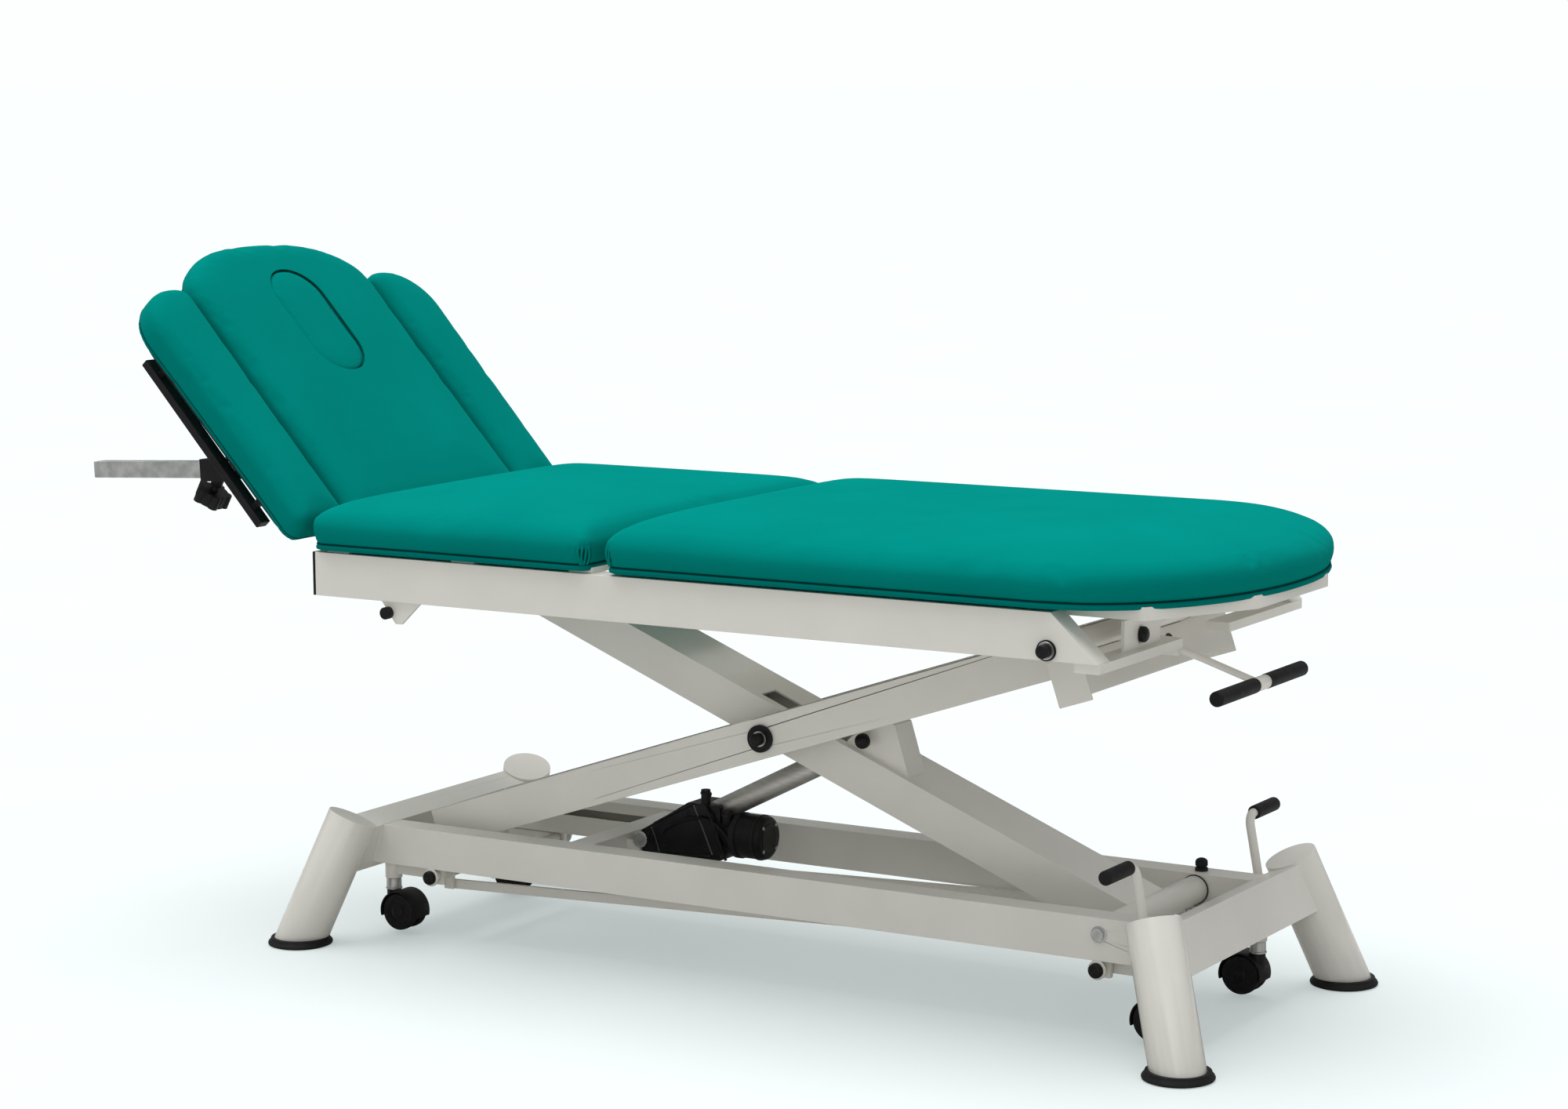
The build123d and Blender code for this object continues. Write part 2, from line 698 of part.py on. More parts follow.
with BuildPart() as actuator_housing:
    with BuildSketch(Plane.XZ.offset(-motor_side - housing_half)):
        Polygon(*housing_outline, align=None)
    extrude(amount=2 * housing_half)
    fillet(actuator_housing.edges().filter_by(Axis.Y), 5)
    for side in (-1, 1):
        inner = motor_side + side * 8
        outer = motor_side + side * (housing_half + 1)
        span = sorted((inner, outer))
        block(
            (motor_pin[0] - 14, motor_pin[0] + 13),
            span,
            (motor_pin[1] - 14, motor_pin[1] + 30),
            Mode.SUBTRACT,
        )
    cross_rod(*motor_pin, motor_side - 8, motor_side + 8, pivot_bolt_radius + running, Mode.SUBTRACT)
    rod(on_screw(tube_from - 60), on_screw(tube_from + 20), outer_tube_radius + running, Mode.SUBTRACT)
save(actuator_housing, "actuator_housing")

with BuildPart() as actuator_motor:
    rod((motor_from_x, motor_side, motor_z), (motor_to_x, motor_side, motor_z), motor_radius)
    fillet(actuator_motor.edges().group_by(Axis.X)[-1], 8)
    rod(on_screw(tube_from - 40), on_screw(tube_to), outer_tube_radius + 1, Mode.SUBTRACT)
    for x, low in motor_caps:
        rod((x, motor_side - 24, low), (x, motor_side - 24, low + 22), 7)
save(actuator_motor, "actuator_motor")

with BuildPart() as actuator_tube:
    rod(on_screw(tube_from - 60), on_screw(tube_to), outer_tube_radius)
    rod(on_screw(tube_from - 57), on_screw(tube_to), inner_rod_radius + running, Mode.SUBTRACT)
save(actuator_tube, "actuator_tube")

with BuildPart() as actuator_rod:
    rod(on_screw(rise.length - rod_inside), on_screw(rise.length - eye_radius + 2), inner_rod_radius)
    cross_rod(*bracket_pin, motor_side - eye_half, motor_side + eye_half, eye_radius)
save(actuator_rod, "actuator_rod")

# ---- upper frame ----
rail_y = (-rail_half, -rail_inner)

with BuildPart() as upper_rails:
    with BuildSketch(Plane.XZ.offset(rail_inner)):
        Polygon(
            (rail_head_x, rail_bottom),
            (rail_head_x, rail_top),
            (rail_foot_top_x, rail_top),
            (rail_foot_bottom_x, rail_bottom),
            align=None,
        )
    extrude(amount=rail_wide)
    void_y = (-rail_half + tube_wall, -rail_inner - tube_wall)
    void_z = (rail_bottom + tube_wall, rail_top - tube_wall)
    block((rail_head_x, rail_foot_top_x - tube_wall), void_y, void_z, Mode.SUBTRACT)
    slot_z = (upper_z - slot_high / 2, upper_z + slot_high / 2)
    block(
        (rail_head_x + tube_wall, upper_slot_foot_x),
        (-rail_inner - tube_wall, -rail_inner),
        slot_z,
        Mode.SUBTRACT,
    )
    cross_rod(pivot_x, upper_z, *rail_y, pivot_bolt_radius + running, Mode.SUBTRACT)
    mirror(about=Plane.XZ)
save(upper_rails, "upper_rails")

with BuildPart() as rail_end_caps:
    for side in (-1, 1):
        block(
            (rail_head_x - cap_thick, rail_head_x),
            sorted((side * rail_inner, side * rail_half)),
            (rail_bottom, rail_top),
        )
save(rail_end_caps, "rail_end_caps")

with BuildPart() as upper_pivot_bolts:
    both_sides(pivot_x, upper_z, rail_inner - 40, rail_half + side_gap, pivot_bolt_radius)
    both_sides(pivot_x, upper_z, rail_half, rail_half + 3, cap_radius + 5)
    both_sides(pivot_x, upper_z, rail_half, rail_half + 12, cap_radius)
    both_sides(stop_cap[0], rail_bottom - stop_cap[1], rail_half - 5, rail_half + 5, cap_radius)
save(upper_pivot_bolts, "upper_pivot_bolts")

with BuildPart() as frame_cross_bars:
    block(head_bar_x, (-rail_inner + 6, rail_inner - 6), head_bar_z)
    for side in (-1, 1):
        plate_y = sorted((side * (rail_inner - 6), side * rail_inner))
        block((head_bar_x[0], rail_head_x + 45), plate_y, (head_bar_z[0], rail_top - 6))
        with BuildSketch(Plane.XZ.offset(-side * (hinge_side + hinge_plate / 2) - hinge_plate / 2)):
            Polygon(
                (head_bar_x[1], head_bar_z[1] + seat_gap),
                (back_hinge_x + 8, back_hinge_z),
                (back_hinge_x - 8, back_hinge_z),
                (head_bar_x[0], head_bar_z[1] + seat_gap),
                align=None,
            )
            with Locations((back_hinge_x, back_hinge_z)):
                Circle(9)
        extrude(amount=hinge_plate)
        pin_y = (side * (hinge_side - 1), side * (hinge_side + 2 * hinge_plate + 1))
        cross_rod(back_hinge_x, back_hinge_z, *pin_y, hinge_pin_radius)
        for bar_x, bar_from in flat_bars:
            bar_y = sorted((side * bar_from, side * (rail_half - 8)))
            block(
                (bar_x - flat_bar_wide / 2, bar_x + flat_bar_wide / 2), bar_y, (rail_top, board_bottom)
            )
        block(
            foot_bar_x,
            sorted((side * foot_bar_gap, side * (rail_half - 4))),
            (rail_bottom - foot_bar_thick, rail_bottom),
        )
        plate_face = rail_half - 5
        with BuildSketch(Plane.XZ.offset(side * plate_face - (side + 1) * 3)):
            Polygon(*[(x, rail_bottom - drop) for x, drop in stop_plate], align=None)
        extrude(amount=6)
        cross_rod(
            leg_hinge_x, leg_hinge_z, side * (tray_half - 4), side * rail_inner, hinge_pin_radius
        )
        lug_y = sorted((spring_side + side * 7, spring_side + side * 11))
        block((spring_anchor[0] - 4, tray_bar_x[0]), lug_y, (spring_anchor[1], tray_bottom - 10))
        cross_rod(*spring_anchor, *lug_y, 9)
    block(tray_bar_x, (-rail_inner, rail_inner), (tray_bottom - 25, tray_bottom - seat_gap))
    cross_rod(*spring_anchor, spring_side - 12, spring_side + 12, hinge_pin_radius)
    foot_plate_x = sum(foot_bar_x) / 2
    block((foot_plate_x, foot_plate_x + 5), (-230, -120), (rail_bottom, rail_top - 22))
    lever_lug_y = (-foot_bar_gap, -foot_bar_gap + 5)
    block((lever_pivot[0] - 14, lever_pivot[0] + 14), lever_lug_y, (lever_pivot[1] - 10, rail_bottom))
    cross_rod(*lever_pivot, -foot_bar_gap, lever_y + 9, hinge_pin_radius)
save(frame_cross_bars, "frame_cross_bars")

with BuildPart() as seat_board:
    with BuildSketch(Plane.XY.offset(board_bottom)):
        with Locations(((seat_head_x + seat_foot_x) / 2, 0)):
            Rectangle(seat_foot_x - seat_head_x - 2 * board_inset, 2 * (pad_half - board_inset))
    extrude(amount=board_thick)
save(seat_board, "seat_board")

with BuildPart() as seat_pad:
    with BuildSketch(Plane.XY.offset(board_top + seat_gap)):
        with Locations(((seat_head_x + seat_foot_x) / 2, 0)):
            RectangleRounded(seat_foot_x - seat_head_x, 2 * pad_half, pad_corner)
    extrude(amount=pad_top - board_top - seat_gap)
    top_edges = seat_pad.edges().group_by(Axis.Z)[-1]
    fillet(top_edges, pad_edge_round)
save(seat_pad, "seat_pad")

# ---- release lever ----
with BuildPart() as release_lever:
    bent_rod([(x, lever_y, z) for x, z in lever_points], lever_radius, lever_bend)
    cross_rod(*lever_pivot, lever_y - 8, lever_y + 8, 9)
    cross_rod(*lever_pivot, lever_y - 9, lever_y + 9, hinge_pin_radius + running, Mode.SUBTRACT)
    tee = lever_points[-1]
    cross_rod(*tee, lever_y - tee_long / 2, lever_y + tee_long / 2, grip_radius)
    cross_rod(*tee, lever_y - tee_long / 2 - 110, lever_y + tee_long / 2 + 110, lever_radius)
save(release_lever, "release_lever")

with BuildPart() as lever_grips:
    for side in (-1, 1):
        start = lever_y + side * (tee_long / 2 + seat_gap)
        cross_rod(*tee, start, start + side * grip_long, grip_radius + 0.5)
    fillet(lever_grips.edges().filter_by(GeomType.CIRCLE), 3)
    cross_rod(
        *tee, lever_y - tee_long / 2 - 110, lever_y + tee_long / 2 + 110, lever_radius, Mode.SUBTRACT
    )
save(lever_grips, "lever_grips")

# ---- leg section ----


def tray_outline(inset):
    """The tray's outline, its foot end narrowing to a short straight edge."""
    half = tray_half - inset
    end_half = tray_end_half - inset
    side_end = tray_side_end_x - inset
    end = tray_end_x - inset
    head = tray_head_x + inset
    right = [(head, -half), (side_end, -half), (end, -end_half)]
    return right + [(x, -y) for x, y in reversed(right)]


with BuildPart() as leg_tray:
    with BuildSketch(Plane.XY.offset(tray_bottom)):
        Polygon(*tray_outline(0), align=None)
    extrude(amount=board_bottom - tray_bottom)
    with BuildSketch(Plane.XY.offset(tray_bottom + tray_wall)):
        Polygon(*tray_outline(tray_wall), align=None)
    extrude(amount=board_bottom - tray_bottom, mode=Mode.SUBTRACT)
    both_sides(
        leg_hinge_x,
        leg_hinge_z,
        tray_half - 6,
        tray_half + 1,
        hinge_pin_radius + running,
        Mode.SUBTRACT,
    )
    for side in (-1, 1):
        lug_y = sorted((spring_side + side * 8, spring_side + side * 11))
        block((spring_eye[0] - 12, spring_eye[0] + 12), lug_y, (spring_eye[1] - 8, tray_bottom))
save(leg_tray, "leg_tray")

with BuildPart() as leg_pad:
    with BuildSketch(Plane.XY.offset(board_bottom + seat_gap)) as leg_outline:
        bow_x = leg_pad_foot_x - leg_pad_bow
        with BuildLine():
            Polyline(
                (bow_x, -pad_half),
                (leg_pad_head_x, -pad_half),
                (leg_pad_head_x, pad_half),
                (bow_x, pad_half),
            )
            ThreePointArc((bow_x, pad_half), (leg_pad_foot_x, 0), (bow_x, -pad_half))
        make_face()
        fillet(leg_outline.vertices().group_by(Axis.X)[-1], leg_pad_round)
        fillet(leg_outline.vertices().group_by(Axis.X)[0], pad_corner)
    extrude(amount=pad_top - board_bottom - seat_gap)
    fillet(leg_pad.edges().group_by(Axis.Z)[-1], pad_edge_round)
save(leg_pad, "leg_pad")

spring_run = Vector(spring_eye[0] - spring_anchor[0], 0, spring_eye[1] - spring_anchor[1])
spring_start = Vector(spring_anchor[0], spring_side, spring_anchor[1])


def on_spring(along):
    """The point on the gas spring's axis at this distance from its anchor."""
    return tuple(spring_start + spring_run.normalized() * along)


with BuildPart() as gas_spring_body:
    cross_rod(*spring_anchor, spring_side - 5, spring_side + 5, 9)
    rod(on_spring(6), on_spring(14), 4)
    rod(on_spring(12), on_spring(spring_body_long), spring_radius)
    cross_rod(
        *spring_anchor, spring_side - 6, spring_side + 6, hinge_pin_radius + running, Mode.SUBTRACT
    )
    rod(on_spring(30), on_spring(spring_body_long), spring_rod_radius + running, Mode.SUBTRACT)
save(gas_spring_body, "gas_spring_body")

with BuildPart() as gas_spring_rod:
    rod(on_spring(spring_body_long - 70), on_spring(spring_run.length - 4), spring_rod_radius)
    cross_rod(*spring_eye, spring_side - 5, spring_side + 5, 9)
save(gas_spring_rod, "gas_spring_rod")

# ---- backrest ----


def back_outline(inset):
    """The backrest's outline on its own plane, a straight foot edge and a bowed head edge."""
    half = back_half - inset
    with BuildSketch() as outline:
        with BuildLine():
            Polyline(
                (back_corner, half),
                (back_start + inset, half),
                (back_start + inset, -half),
                (back_corner, -half),
            )
            ThreePointArc((back_corner, -half), (back_end - inset, 0), (back_corner, half))
        make_face()
        fillet(outline.vertices().group_by(Axis.X)[-1], back_round - inset)
        fillet(outline.vertices().group_by(Axis.X)[0], 20 - inset)
    return outline.sketch


board_up = back_under + board_thick
with BuildPart() as backrest_board:
    with BuildSketch(back_plan.offset(back_under)):
        add(back_outline(board_inset))
        with Locations(((plug_from + plug_to) / 2, 0)):
            RectangleRounded(
                plug_to - plug_from - 30, plug_wide - 30, plug_wide / 2 - 17, mode=Mode.SUBTRACT
            )
    extrude(amount=board_thick)
save(backrest_board, "backrest_board")

with BuildPart() as backrest_pad:
    with BuildSketch(back_plan.offset(board_up + seat_gap)):
        add(back_outline(0))
    extrude(amount=back_top - board_up - seat_gap)
    fillet(backrest_pad.faces().sort_by(Axis(back_hinge, back_normal))[-1].edges(), back_edge_round)
    with BuildSketch(back_plan.offset(board_up)):
        with Locations(((plug_from + plug_to) / 2, 0)):
            RectangleRounded(plug_to - plug_from, plug_wide, plug_wide / 2 - 2)
    extrude(amount=back_top - board_up, mode=Mode.SUBTRACT)
save(backrest_pad, "backrest_pad")

with BuildPart() as face_plug:
    with BuildSketch(back_plan.offset(board_up + seat_gap)):
        with Locations(((plug_from + plug_to) / 2, 0)):
            RectangleRounded(
                plug_to - plug_from - 2 * side_gap, plug_wide - 2 * side_gap, plug_wide / 2 - 2 - side_gap
            )
    extrude(amount=back_top - board_up + plug_proud)
    fillet(face_plug.faces().sort_by(Axis(back_hinge, back_normal))[-1].edges(), 6)
save(face_plug, "face_plug")


def back_block(along, y, up, mode=Mode.ADD):
    """A square bar in the backrest's own directions."""
    middle = on_back((along[0] + along[1]) / 2, (up[0] + up[1]) / 2, (y[0] + y[1]) / 2)
    with Locations(Plane(origin=middle, x_dir=back_along, z_dir=back_normal).location):
        Box(along[1] - along[0], y[1] - y[0], up[1] - up[0], mode=mode)


tube_low = back_under - frame_tube
clamp_from = Vector(clamp_start[0], clamp_side, clamp_start[1])
clamp_run = Vector(clamp_free[0] - clamp_start[0], 0, clamp_free[1] - clamp_start[1])
socket_middle = clamp_from + clamp_run.normalized() * (socket_from_start + socket_long / 2)
socket_rel = socket_middle - back_hinge
socket_along = socket_rel.dot(back_along)
socket_up = socket_rel.dot(back_normal)
socket_half = clamp_tube / 2 + seat_gap + socket_wall
lean = math.radians(knob_lean)
knob_down = Vector(-math.sin(lean), 0, -math.cos(lean))
knob_root = clamp_from + clamp_run.normalized() * (socket_from_start + socket_long / 3)
arm_bar_side = pad_half - arm_bar_inset

with BuildPart() as backrest_frame:
    for side in (-1, 1):
        side_y = sorted((side * (hinge_side - frame_tube), side * hinge_side))
        back_block((10, 440), side_y, (tube_low, back_under))
        plate_y = sorted(
            (side * (hinge_side + hinge_plate + 0.5), side * (hinge_side + 2 * hinge_plate + 0.5))
        )
        back_block((0, 60), plate_y, (tube_low + 4, back_under + 8))
        cross_rod(back_hinge_x, back_hinge_z, *plate_y, 9)
        back_block((-9, 9), plate_y, (back_under + 7, 0))
        spacer_y = sorted((side * hinge_side, side * (hinge_side + hinge_plate + 0.5)))
        back_block((18, 60), spacer_y, (tube_low + 4, back_under))
        stub_x = (socket_along - frame_tube / 2, socket_along + frame_tube / 2)
        back_block(stub_x, side_y, (socket_up - frame_tube / 2, tube_low))
        stub_y = sorted((side * (hinge_side - frame_tube), side * (clamp_side - socket_half)))
        back_block(stub_x, stub_y, (socket_up - frame_tube / 2, socket_up + frame_tube / 2))
        cross_rod(back_hinge_x, back_hinge_z, *plate_y, hinge_pin_radius + running, Mode.SUBTRACT)
    for along in (20.0, 405.0):
        inner_y = hinge_side - frame_tube
        back_block((along, along + frame_tube), (-inner_y, inner_y), (tube_low, back_under))
save(backrest_frame, "backrest_frame")


def clamp_box(side, start, end, half, mode=Mode.ADD):
    """A square bar along one clamp tube, from start to end measured along it."""
    run = clamp_run.normalized()
    origin = Vector(clamp_from.X, side * clamp_side, clamp_from.Z) + run * start
    with Locations(Plane(origin=origin, x_dir=(0, 1, 0), z_dir=run).location):
        Box(2 * half, 2 * half, end - start, align=full_depth, mode=mode)


with BuildPart() as clamp_sockets:
    for side in (-1, 1):
        socket_to = socket_from_start + socket_long
        clamp_box(side, socket_from_start, socket_to, socket_half)
        root = Vector(knob_root.X, side * clamp_side, knob_root.Z)
        rod(tuple(root), tuple(root + knob_down * knob_boss), 9)
        clamp_box(side, socket_from_start - 5, socket_to + 5, clamp_tube / 2 + seat_gap, Mode.SUBTRACT)
save(clamp_sockets, "clamp_sockets")

for hand, side in (("right", -1), ("left", 1)):
    with BuildPart() as clamp_knob:
        root = Vector(knob_root.X, side * clamp_side, knob_root.Z)
        seat = root + knob_down * (knob_boss + seat_gap)
        rod(tuple(seat), tuple(seat + knob_down * 8), 6)
        with BuildSketch(Plane(origin=seat + knob_down * 8, z_dir=knob_down)):
            Circle(knob_radius * 0.8)
            with PolarLocations(knob_radius * 0.72, 5):
                Circle(knob_radius * 0.28)
        extrude(amount=knob_high)
    save(clamp_knob, f"clamp_knob_{hand}")

    with BuildPart() as arm_tube:
        clamp_box(side, 0, clamp_run.length, clamp_tube / 2)
        clamp_box(side, 0, clamp_run.length, clamp_tube / 2 - clamp_wall, Mode.SUBTRACT)
    save(arm_tube, f"arm_tube_{hand}")

    with BuildPart() as arm_bar:
        bar_y = sorted((side * arm_bar_side, side * (arm_bar_side + arm_bar_wide)))
        back_block((arm_bar_from, arm_bar_to), bar_y, (arm_bar_under, arm_bar_under + arm_bar_thick))
        weld_y = sorted((side * (clamp_side + clamp_tube / 2), side * arm_bar_side))
        back_block((128, 143), weld_y, (arm_bar_under, arm_bar_under + arm_bar_thick))
        for along in (arm_bar_from + 30, arm_bar_to - 30):
            post_y = sorted((side * (arm_bar_side + 4), side * (arm_bar_side + 14)))
            post_up = (arm_bar_under + arm_bar_thick, back_under - seat_gap)
            back_block((along - 5, along + 5), post_y, post_up)
    save(arm_bar, f"arm_bar_{hand}")

    with BuildPart() as arm_pad:
        with BuildSketch(back_plan.offset(back_under)) as arm_outline:
            edge = (-side * arm_inner, -side * pad_half)
            Polygon(
                (back_start, edge[0]),
                (back_start, edge[1]),
                (arm_end, edge[1]),
                (arm_end, edge[0]),
                align=None,
            )
            for outer, radius in ((True, arm_outer_round), (False, arm_inner_round)):
                corners = arm_outline.vertices().group_by(Axis.X)[-1].sort_by(Axis.Y)
                fillet(corners[0 if outer == (side > 0) else -1], radius)
        extrude(amount=back_top - back_under)
        fillet(arm_pad.faces().sort_by(Axis(back_hinge, back_normal))[-1].edges(), back_edge_round)
    save(arm_pad, f"arm_pad_{hand}")
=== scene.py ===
import bpy, bmesh, json, math
import numpy as np
from mathutils import Vector, Matrix
from mathutils.bvhtree import BVHTree


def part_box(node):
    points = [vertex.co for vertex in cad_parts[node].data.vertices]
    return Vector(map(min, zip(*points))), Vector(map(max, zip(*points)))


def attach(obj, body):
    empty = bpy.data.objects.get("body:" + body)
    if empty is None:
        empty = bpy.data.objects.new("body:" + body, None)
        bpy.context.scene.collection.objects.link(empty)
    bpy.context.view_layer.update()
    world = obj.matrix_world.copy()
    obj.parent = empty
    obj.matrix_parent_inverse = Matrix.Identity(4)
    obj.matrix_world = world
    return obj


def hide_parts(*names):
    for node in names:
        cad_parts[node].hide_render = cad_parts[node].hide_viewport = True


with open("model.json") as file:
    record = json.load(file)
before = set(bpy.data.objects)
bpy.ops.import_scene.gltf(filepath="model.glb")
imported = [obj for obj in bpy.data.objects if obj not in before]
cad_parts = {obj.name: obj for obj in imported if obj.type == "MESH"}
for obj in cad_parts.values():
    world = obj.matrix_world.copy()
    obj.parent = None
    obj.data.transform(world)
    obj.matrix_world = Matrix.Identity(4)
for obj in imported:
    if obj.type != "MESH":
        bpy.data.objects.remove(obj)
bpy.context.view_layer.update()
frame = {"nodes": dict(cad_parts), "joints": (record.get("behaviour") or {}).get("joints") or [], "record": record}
nodes = frame["nodes"]
scene = bpy.context.scene
scene.view_settings.view_transform = "Standard"

# ---- camera ----
camera_place = (2.7816, -4.4076, 1.3098)
yaw, pitch, roll = math.radians(31.227), math.radians(-7.761), math.radians(-0.316)
camera_data = bpy.data.cameras.new("camera")
camera_data.lens = 81.66
camera_data.sensor_width = 36.0
camera = bpy.data.objects.new("camera", camera_data)
scene.collection.objects.link(camera)
camera.matrix_world = (
    Matrix.Translation(camera_place)
    @ Matrix.Rotation(yaw, 4, "Z")
    @ Matrix.Rotation(math.pi / 2 + pitch, 4, "X")
    @ Matrix.Rotation(roll, 4, "Z")
)
scene.camera = camera


# ---- materials ----
def new_material(name, rough, metallic=0.0, coat=0.0, sheen=0.0):
    """An empty Principled material and its node tree."""
    material = bpy.data.materials.new(name)
    material.use_nodes = True
    tree = material.node_tree
    shader = tree.nodes["Principled BSDF"]
    shader.inputs["Roughness"].default_value = rough
    shader.inputs["Metallic"].default_value = metallic
    shader.inputs["Coat Weight"].default_value = coat
    shader.inputs["Coat Roughness"].default_value = 0.15
    shader.inputs["Sheen Weight"].default_value = sheen
    return material, tree, shader


def object_place(tree, stretch=(1, 1, 1)):
    """Texture coordinates in metres, fixed to the piece."""
    place = tree.nodes.new("ShaderNodeTexCoord")
    mapping = tree.nodes.new("ShaderNodeMapping")
    mapping.inputs["Scale"].default_value = stretch
    tree.links.new(place.outputs["Object"], mapping.inputs["Vector"])
    return mapping.outputs["Vector"]


def noise(tree, place, scale, detail=3.0, rough=0.5):
    """A noise texture read at place."""
    node = tree.nodes.new("ShaderNodeTexNoise")
    node.inputs["Scale"].default_value = scale
    node.inputs["Detail"].default_value = detail
    node.inputs["Roughness"].default_value = rough
    tree.links.new(place, node.inputs["Vector"])
    return node.outputs["Fac"]


def two_tone(tree, factor, dark, light, low=0.35, high=0.65):
    """A colour that runs from dark to light with factor."""
    ramp = tree.nodes.new("ShaderNodeValToRGB")
    ramp.color_ramp.elements[0].position = low
    ramp.color_ramp.elements[0].color = (*dark, 1)
    ramp.color_ramp.elements[1].position = high
    ramp.color_ramp.elements[1].color = (*light, 1)
    tree.links.new(factor, ramp.inputs["Fac"])
    return ramp.outputs["Color"]


def rough_between(tree, factor, shader, low, high):
    """Roughness that runs from low to high with factor."""
    span = tree.nodes.new("ShaderNodeMapRange")
    span.inputs["To Min"].default_value = low
    span.inputs["To Max"].default_value = high
    tree.links.new(factor, span.inputs["Value"])
    tree.links.new(span.outputs["Result"], shader.inputs["Roughness"])


def bump(tree, shader, height, distance, strength=1.0, under=None):
    """Relief from height, on top of an earlier bump if one is given."""
    node = tree.nodes.new("ShaderNodeBump")
    node.inputs["Strength"].default_value = strength
    node.inputs["Distance"].default_value = distance
    tree.links.new(height, node.inputs["Height"])
    if under is not None:
        tree.links.new(under.outputs["Normal"], node.inputs["Normal"])
    tree.links.new(node.outputs["Normal"], shader.inputs["Normal"])
    return node


def cells(tree, place, scale, feature="F1"):
    """A cell texture's distance, for grain."""
    node = tree.nodes.new("ShaderNodeTexVoronoi")
    node.feature = feature
    node.inputs["Scale"].default_value = scale
    tree.links.new(place, node.inputs["Vector"])
    return node.outputs["Distance"]


def edge_wear(tree, color, worn, low, high):
    """Color, turning to worn on sharp edges."""
    geometry = tree.nodes.new("ShaderNodeNewGeometry")
    span = tree.nodes.new("ShaderNodeMapRange")
    span.inputs["From Min"].default_value = low
    span.inputs["From Max"].default_value = high
    tree.links.new(geometry.outputs["Pointiness"], span.inputs["Value"])
    mix = tree.nodes.new("ShaderNodeMix")
    mix.data_type = "RGBA"
    mix.inputs["B"].default_value = (*worn, 1)
    tree.links.new(span.outputs["Result"], mix.inputs["Factor"])
    tree.links.new(color, mix.inputs["A"])
    return mix.outputs["Result"]


def paint_material(name, dark, light, rough=0.34):
    """Powder coat: a faint mottle, orange peel and slightly rubbed edges."""
    material, tree, shader = new_material(name, rough, coat=0.25)
    place = object_place(tree)
    color = two_tone(tree, noise(tree, place, 9.0, 4.0), dark, light)
    worn = tuple(0.86 * c for c in light)
    tree.links.new(edge_wear(tree, color, worn, 0.56, 0.66), shader.inputs["Base Color"])
    rough_between(tree, noise(tree, place, 30.0), shader, rough - 0.06, rough + 0.08)
    bump(tree, shader, noise(tree, place, 900.0, 2.0), 0.00012, 0.35)
    return material


def vinyl_material(name, dark, light, rough=0.46):
    """Upholstery vinyl: fine pebbled grain, a soft gleam and slow colour drift."""
    material, tree, shader = new_material(name, rough)
    shader.inputs["Specular IOR Level"].default_value = 0.0
    shader.inputs["Sheen Weight"].default_value = 0.1
    shader.inputs["Sheen Tint"].default_value = (0.05, 0.7, 0.65, 1)
    place = object_place(tree)
    drift = two_tone(tree, noise(tree, place, 5.0, 3.0), dark, light, 0.3, 0.7)
    tree.links.new(drift, shader.inputs["Base Color"])
    rough_between(tree, noise(tree, place, 60.0), shader, rough - 0.05, rough + 0.06)
    soft = bump(tree, shader, noise(tree, place, 45.0, 4.0), 0.0005, 0.22)
    bump(tree, shader, cells(tree, place, 650.0), 0.00022, 0.4, soft)
    return material


def plastic_material(name, dark, light, rough, grain=500.0, depth=0.00015):
    """Moulded plastic or rubber with a spark-eroded texture."""
    material, tree, shader = new_material(name, rough)
    shader.inputs["Specular IOR Level"].default_value = 0.22
    place = object_place(tree)
    color = two_tone(tree, noise(tree, place, 40.0, 4.0), dark, light)
    worn = tuple(min(1.0, 2.2 * c + 0.01) for c in light)
    tree.links.new(edge_wear(tree, color, worn, 0.55, 0.7), shader.inputs["Base Color"])
    rough_between(tree, noise(tree, place, 70.0), shader, rough - 0.07, rough + 0.1)
    bump(tree, shader, noise(tree, place, grain, 2.0), depth, 0.5)
    return material


def metal_material(name, dark, light, rough, brush=(1, 1, 1), depth=0.00008):
    """Bare or plated metal with a drawn or brushed grain."""
    material, tree, shader = new_material(name, rough, metallic=1.0)
    place = object_place(tree, brush)
    color = two_tone(tree, noise(tree, place, 60.0, 5.0), dark, light)
    tree.links.new(color, shader.inputs["Base Color"])
    rough_between(tree, noise(tree, place, 120.0, 4.0), shader, rough - 0.08, rough + 0.12)
    bump(tree, shader, noise(tree, place, 400.0, 2.0), depth, 0.4)
    return material


def wood_material(name):
    """Raw plywood: long grain on the faces, thin veneer lines on the edges."""
    material, tree, shader = new_material(name, 0.62)
    place = object_place(tree, (1.0, 9.0, 9.0))
    grain = noise(tree, place, 14.0, 8.0, 0.65)
    tree.links.new(two_tone(tree, grain, (0.42, 0.27, 0.15), (0.68, 0.5, 0.33)), shader.inputs["Base Color"])
    bump(tree, shader, grain, 0.0003, 0.3)
    return material


white_paint = paint_material("off_white_powder_coat", (0.8, 0.785, 0.73), (0.835, 0.82, 0.765))
gloss_paint = paint_material("off_white_gloss", (0.79, 0.775, 0.72), (0.825, 0.81, 0.755), 0.2)
teal_vinyl = vinyl_material("teal_vinyl", (0.0, 0.205, 0.178), (0.0, 0.228, 0.198))
# the cover's vinyl made darker for the hem cords: painted shade along the pads' lower edges
shaded_teal_hem = vinyl_material("teal_vinyl_hem_painted_shade", (0.0, 0.165, 0.148), (0.0, 0.185, 0.165))
# near-black vinyl for the cords that paint shade into seams, grooves and fold creases
painted_seam_shade = vinyl_material("seam_shadow", (0.0, 0.03, 0.03), (0.0, 0.045, 0.042))
black_plastic = plastic_material("black_plastic", (0.004, 0.004, 0.0045), (0.008, 0.008, 0.009), 0.42)
black_rubber = plastic_material(
    "black_rubber", (0.006, 0.006, 0.007), (0.011, 0.011, 0.012), 0.6, 800.0, 0.0002
)
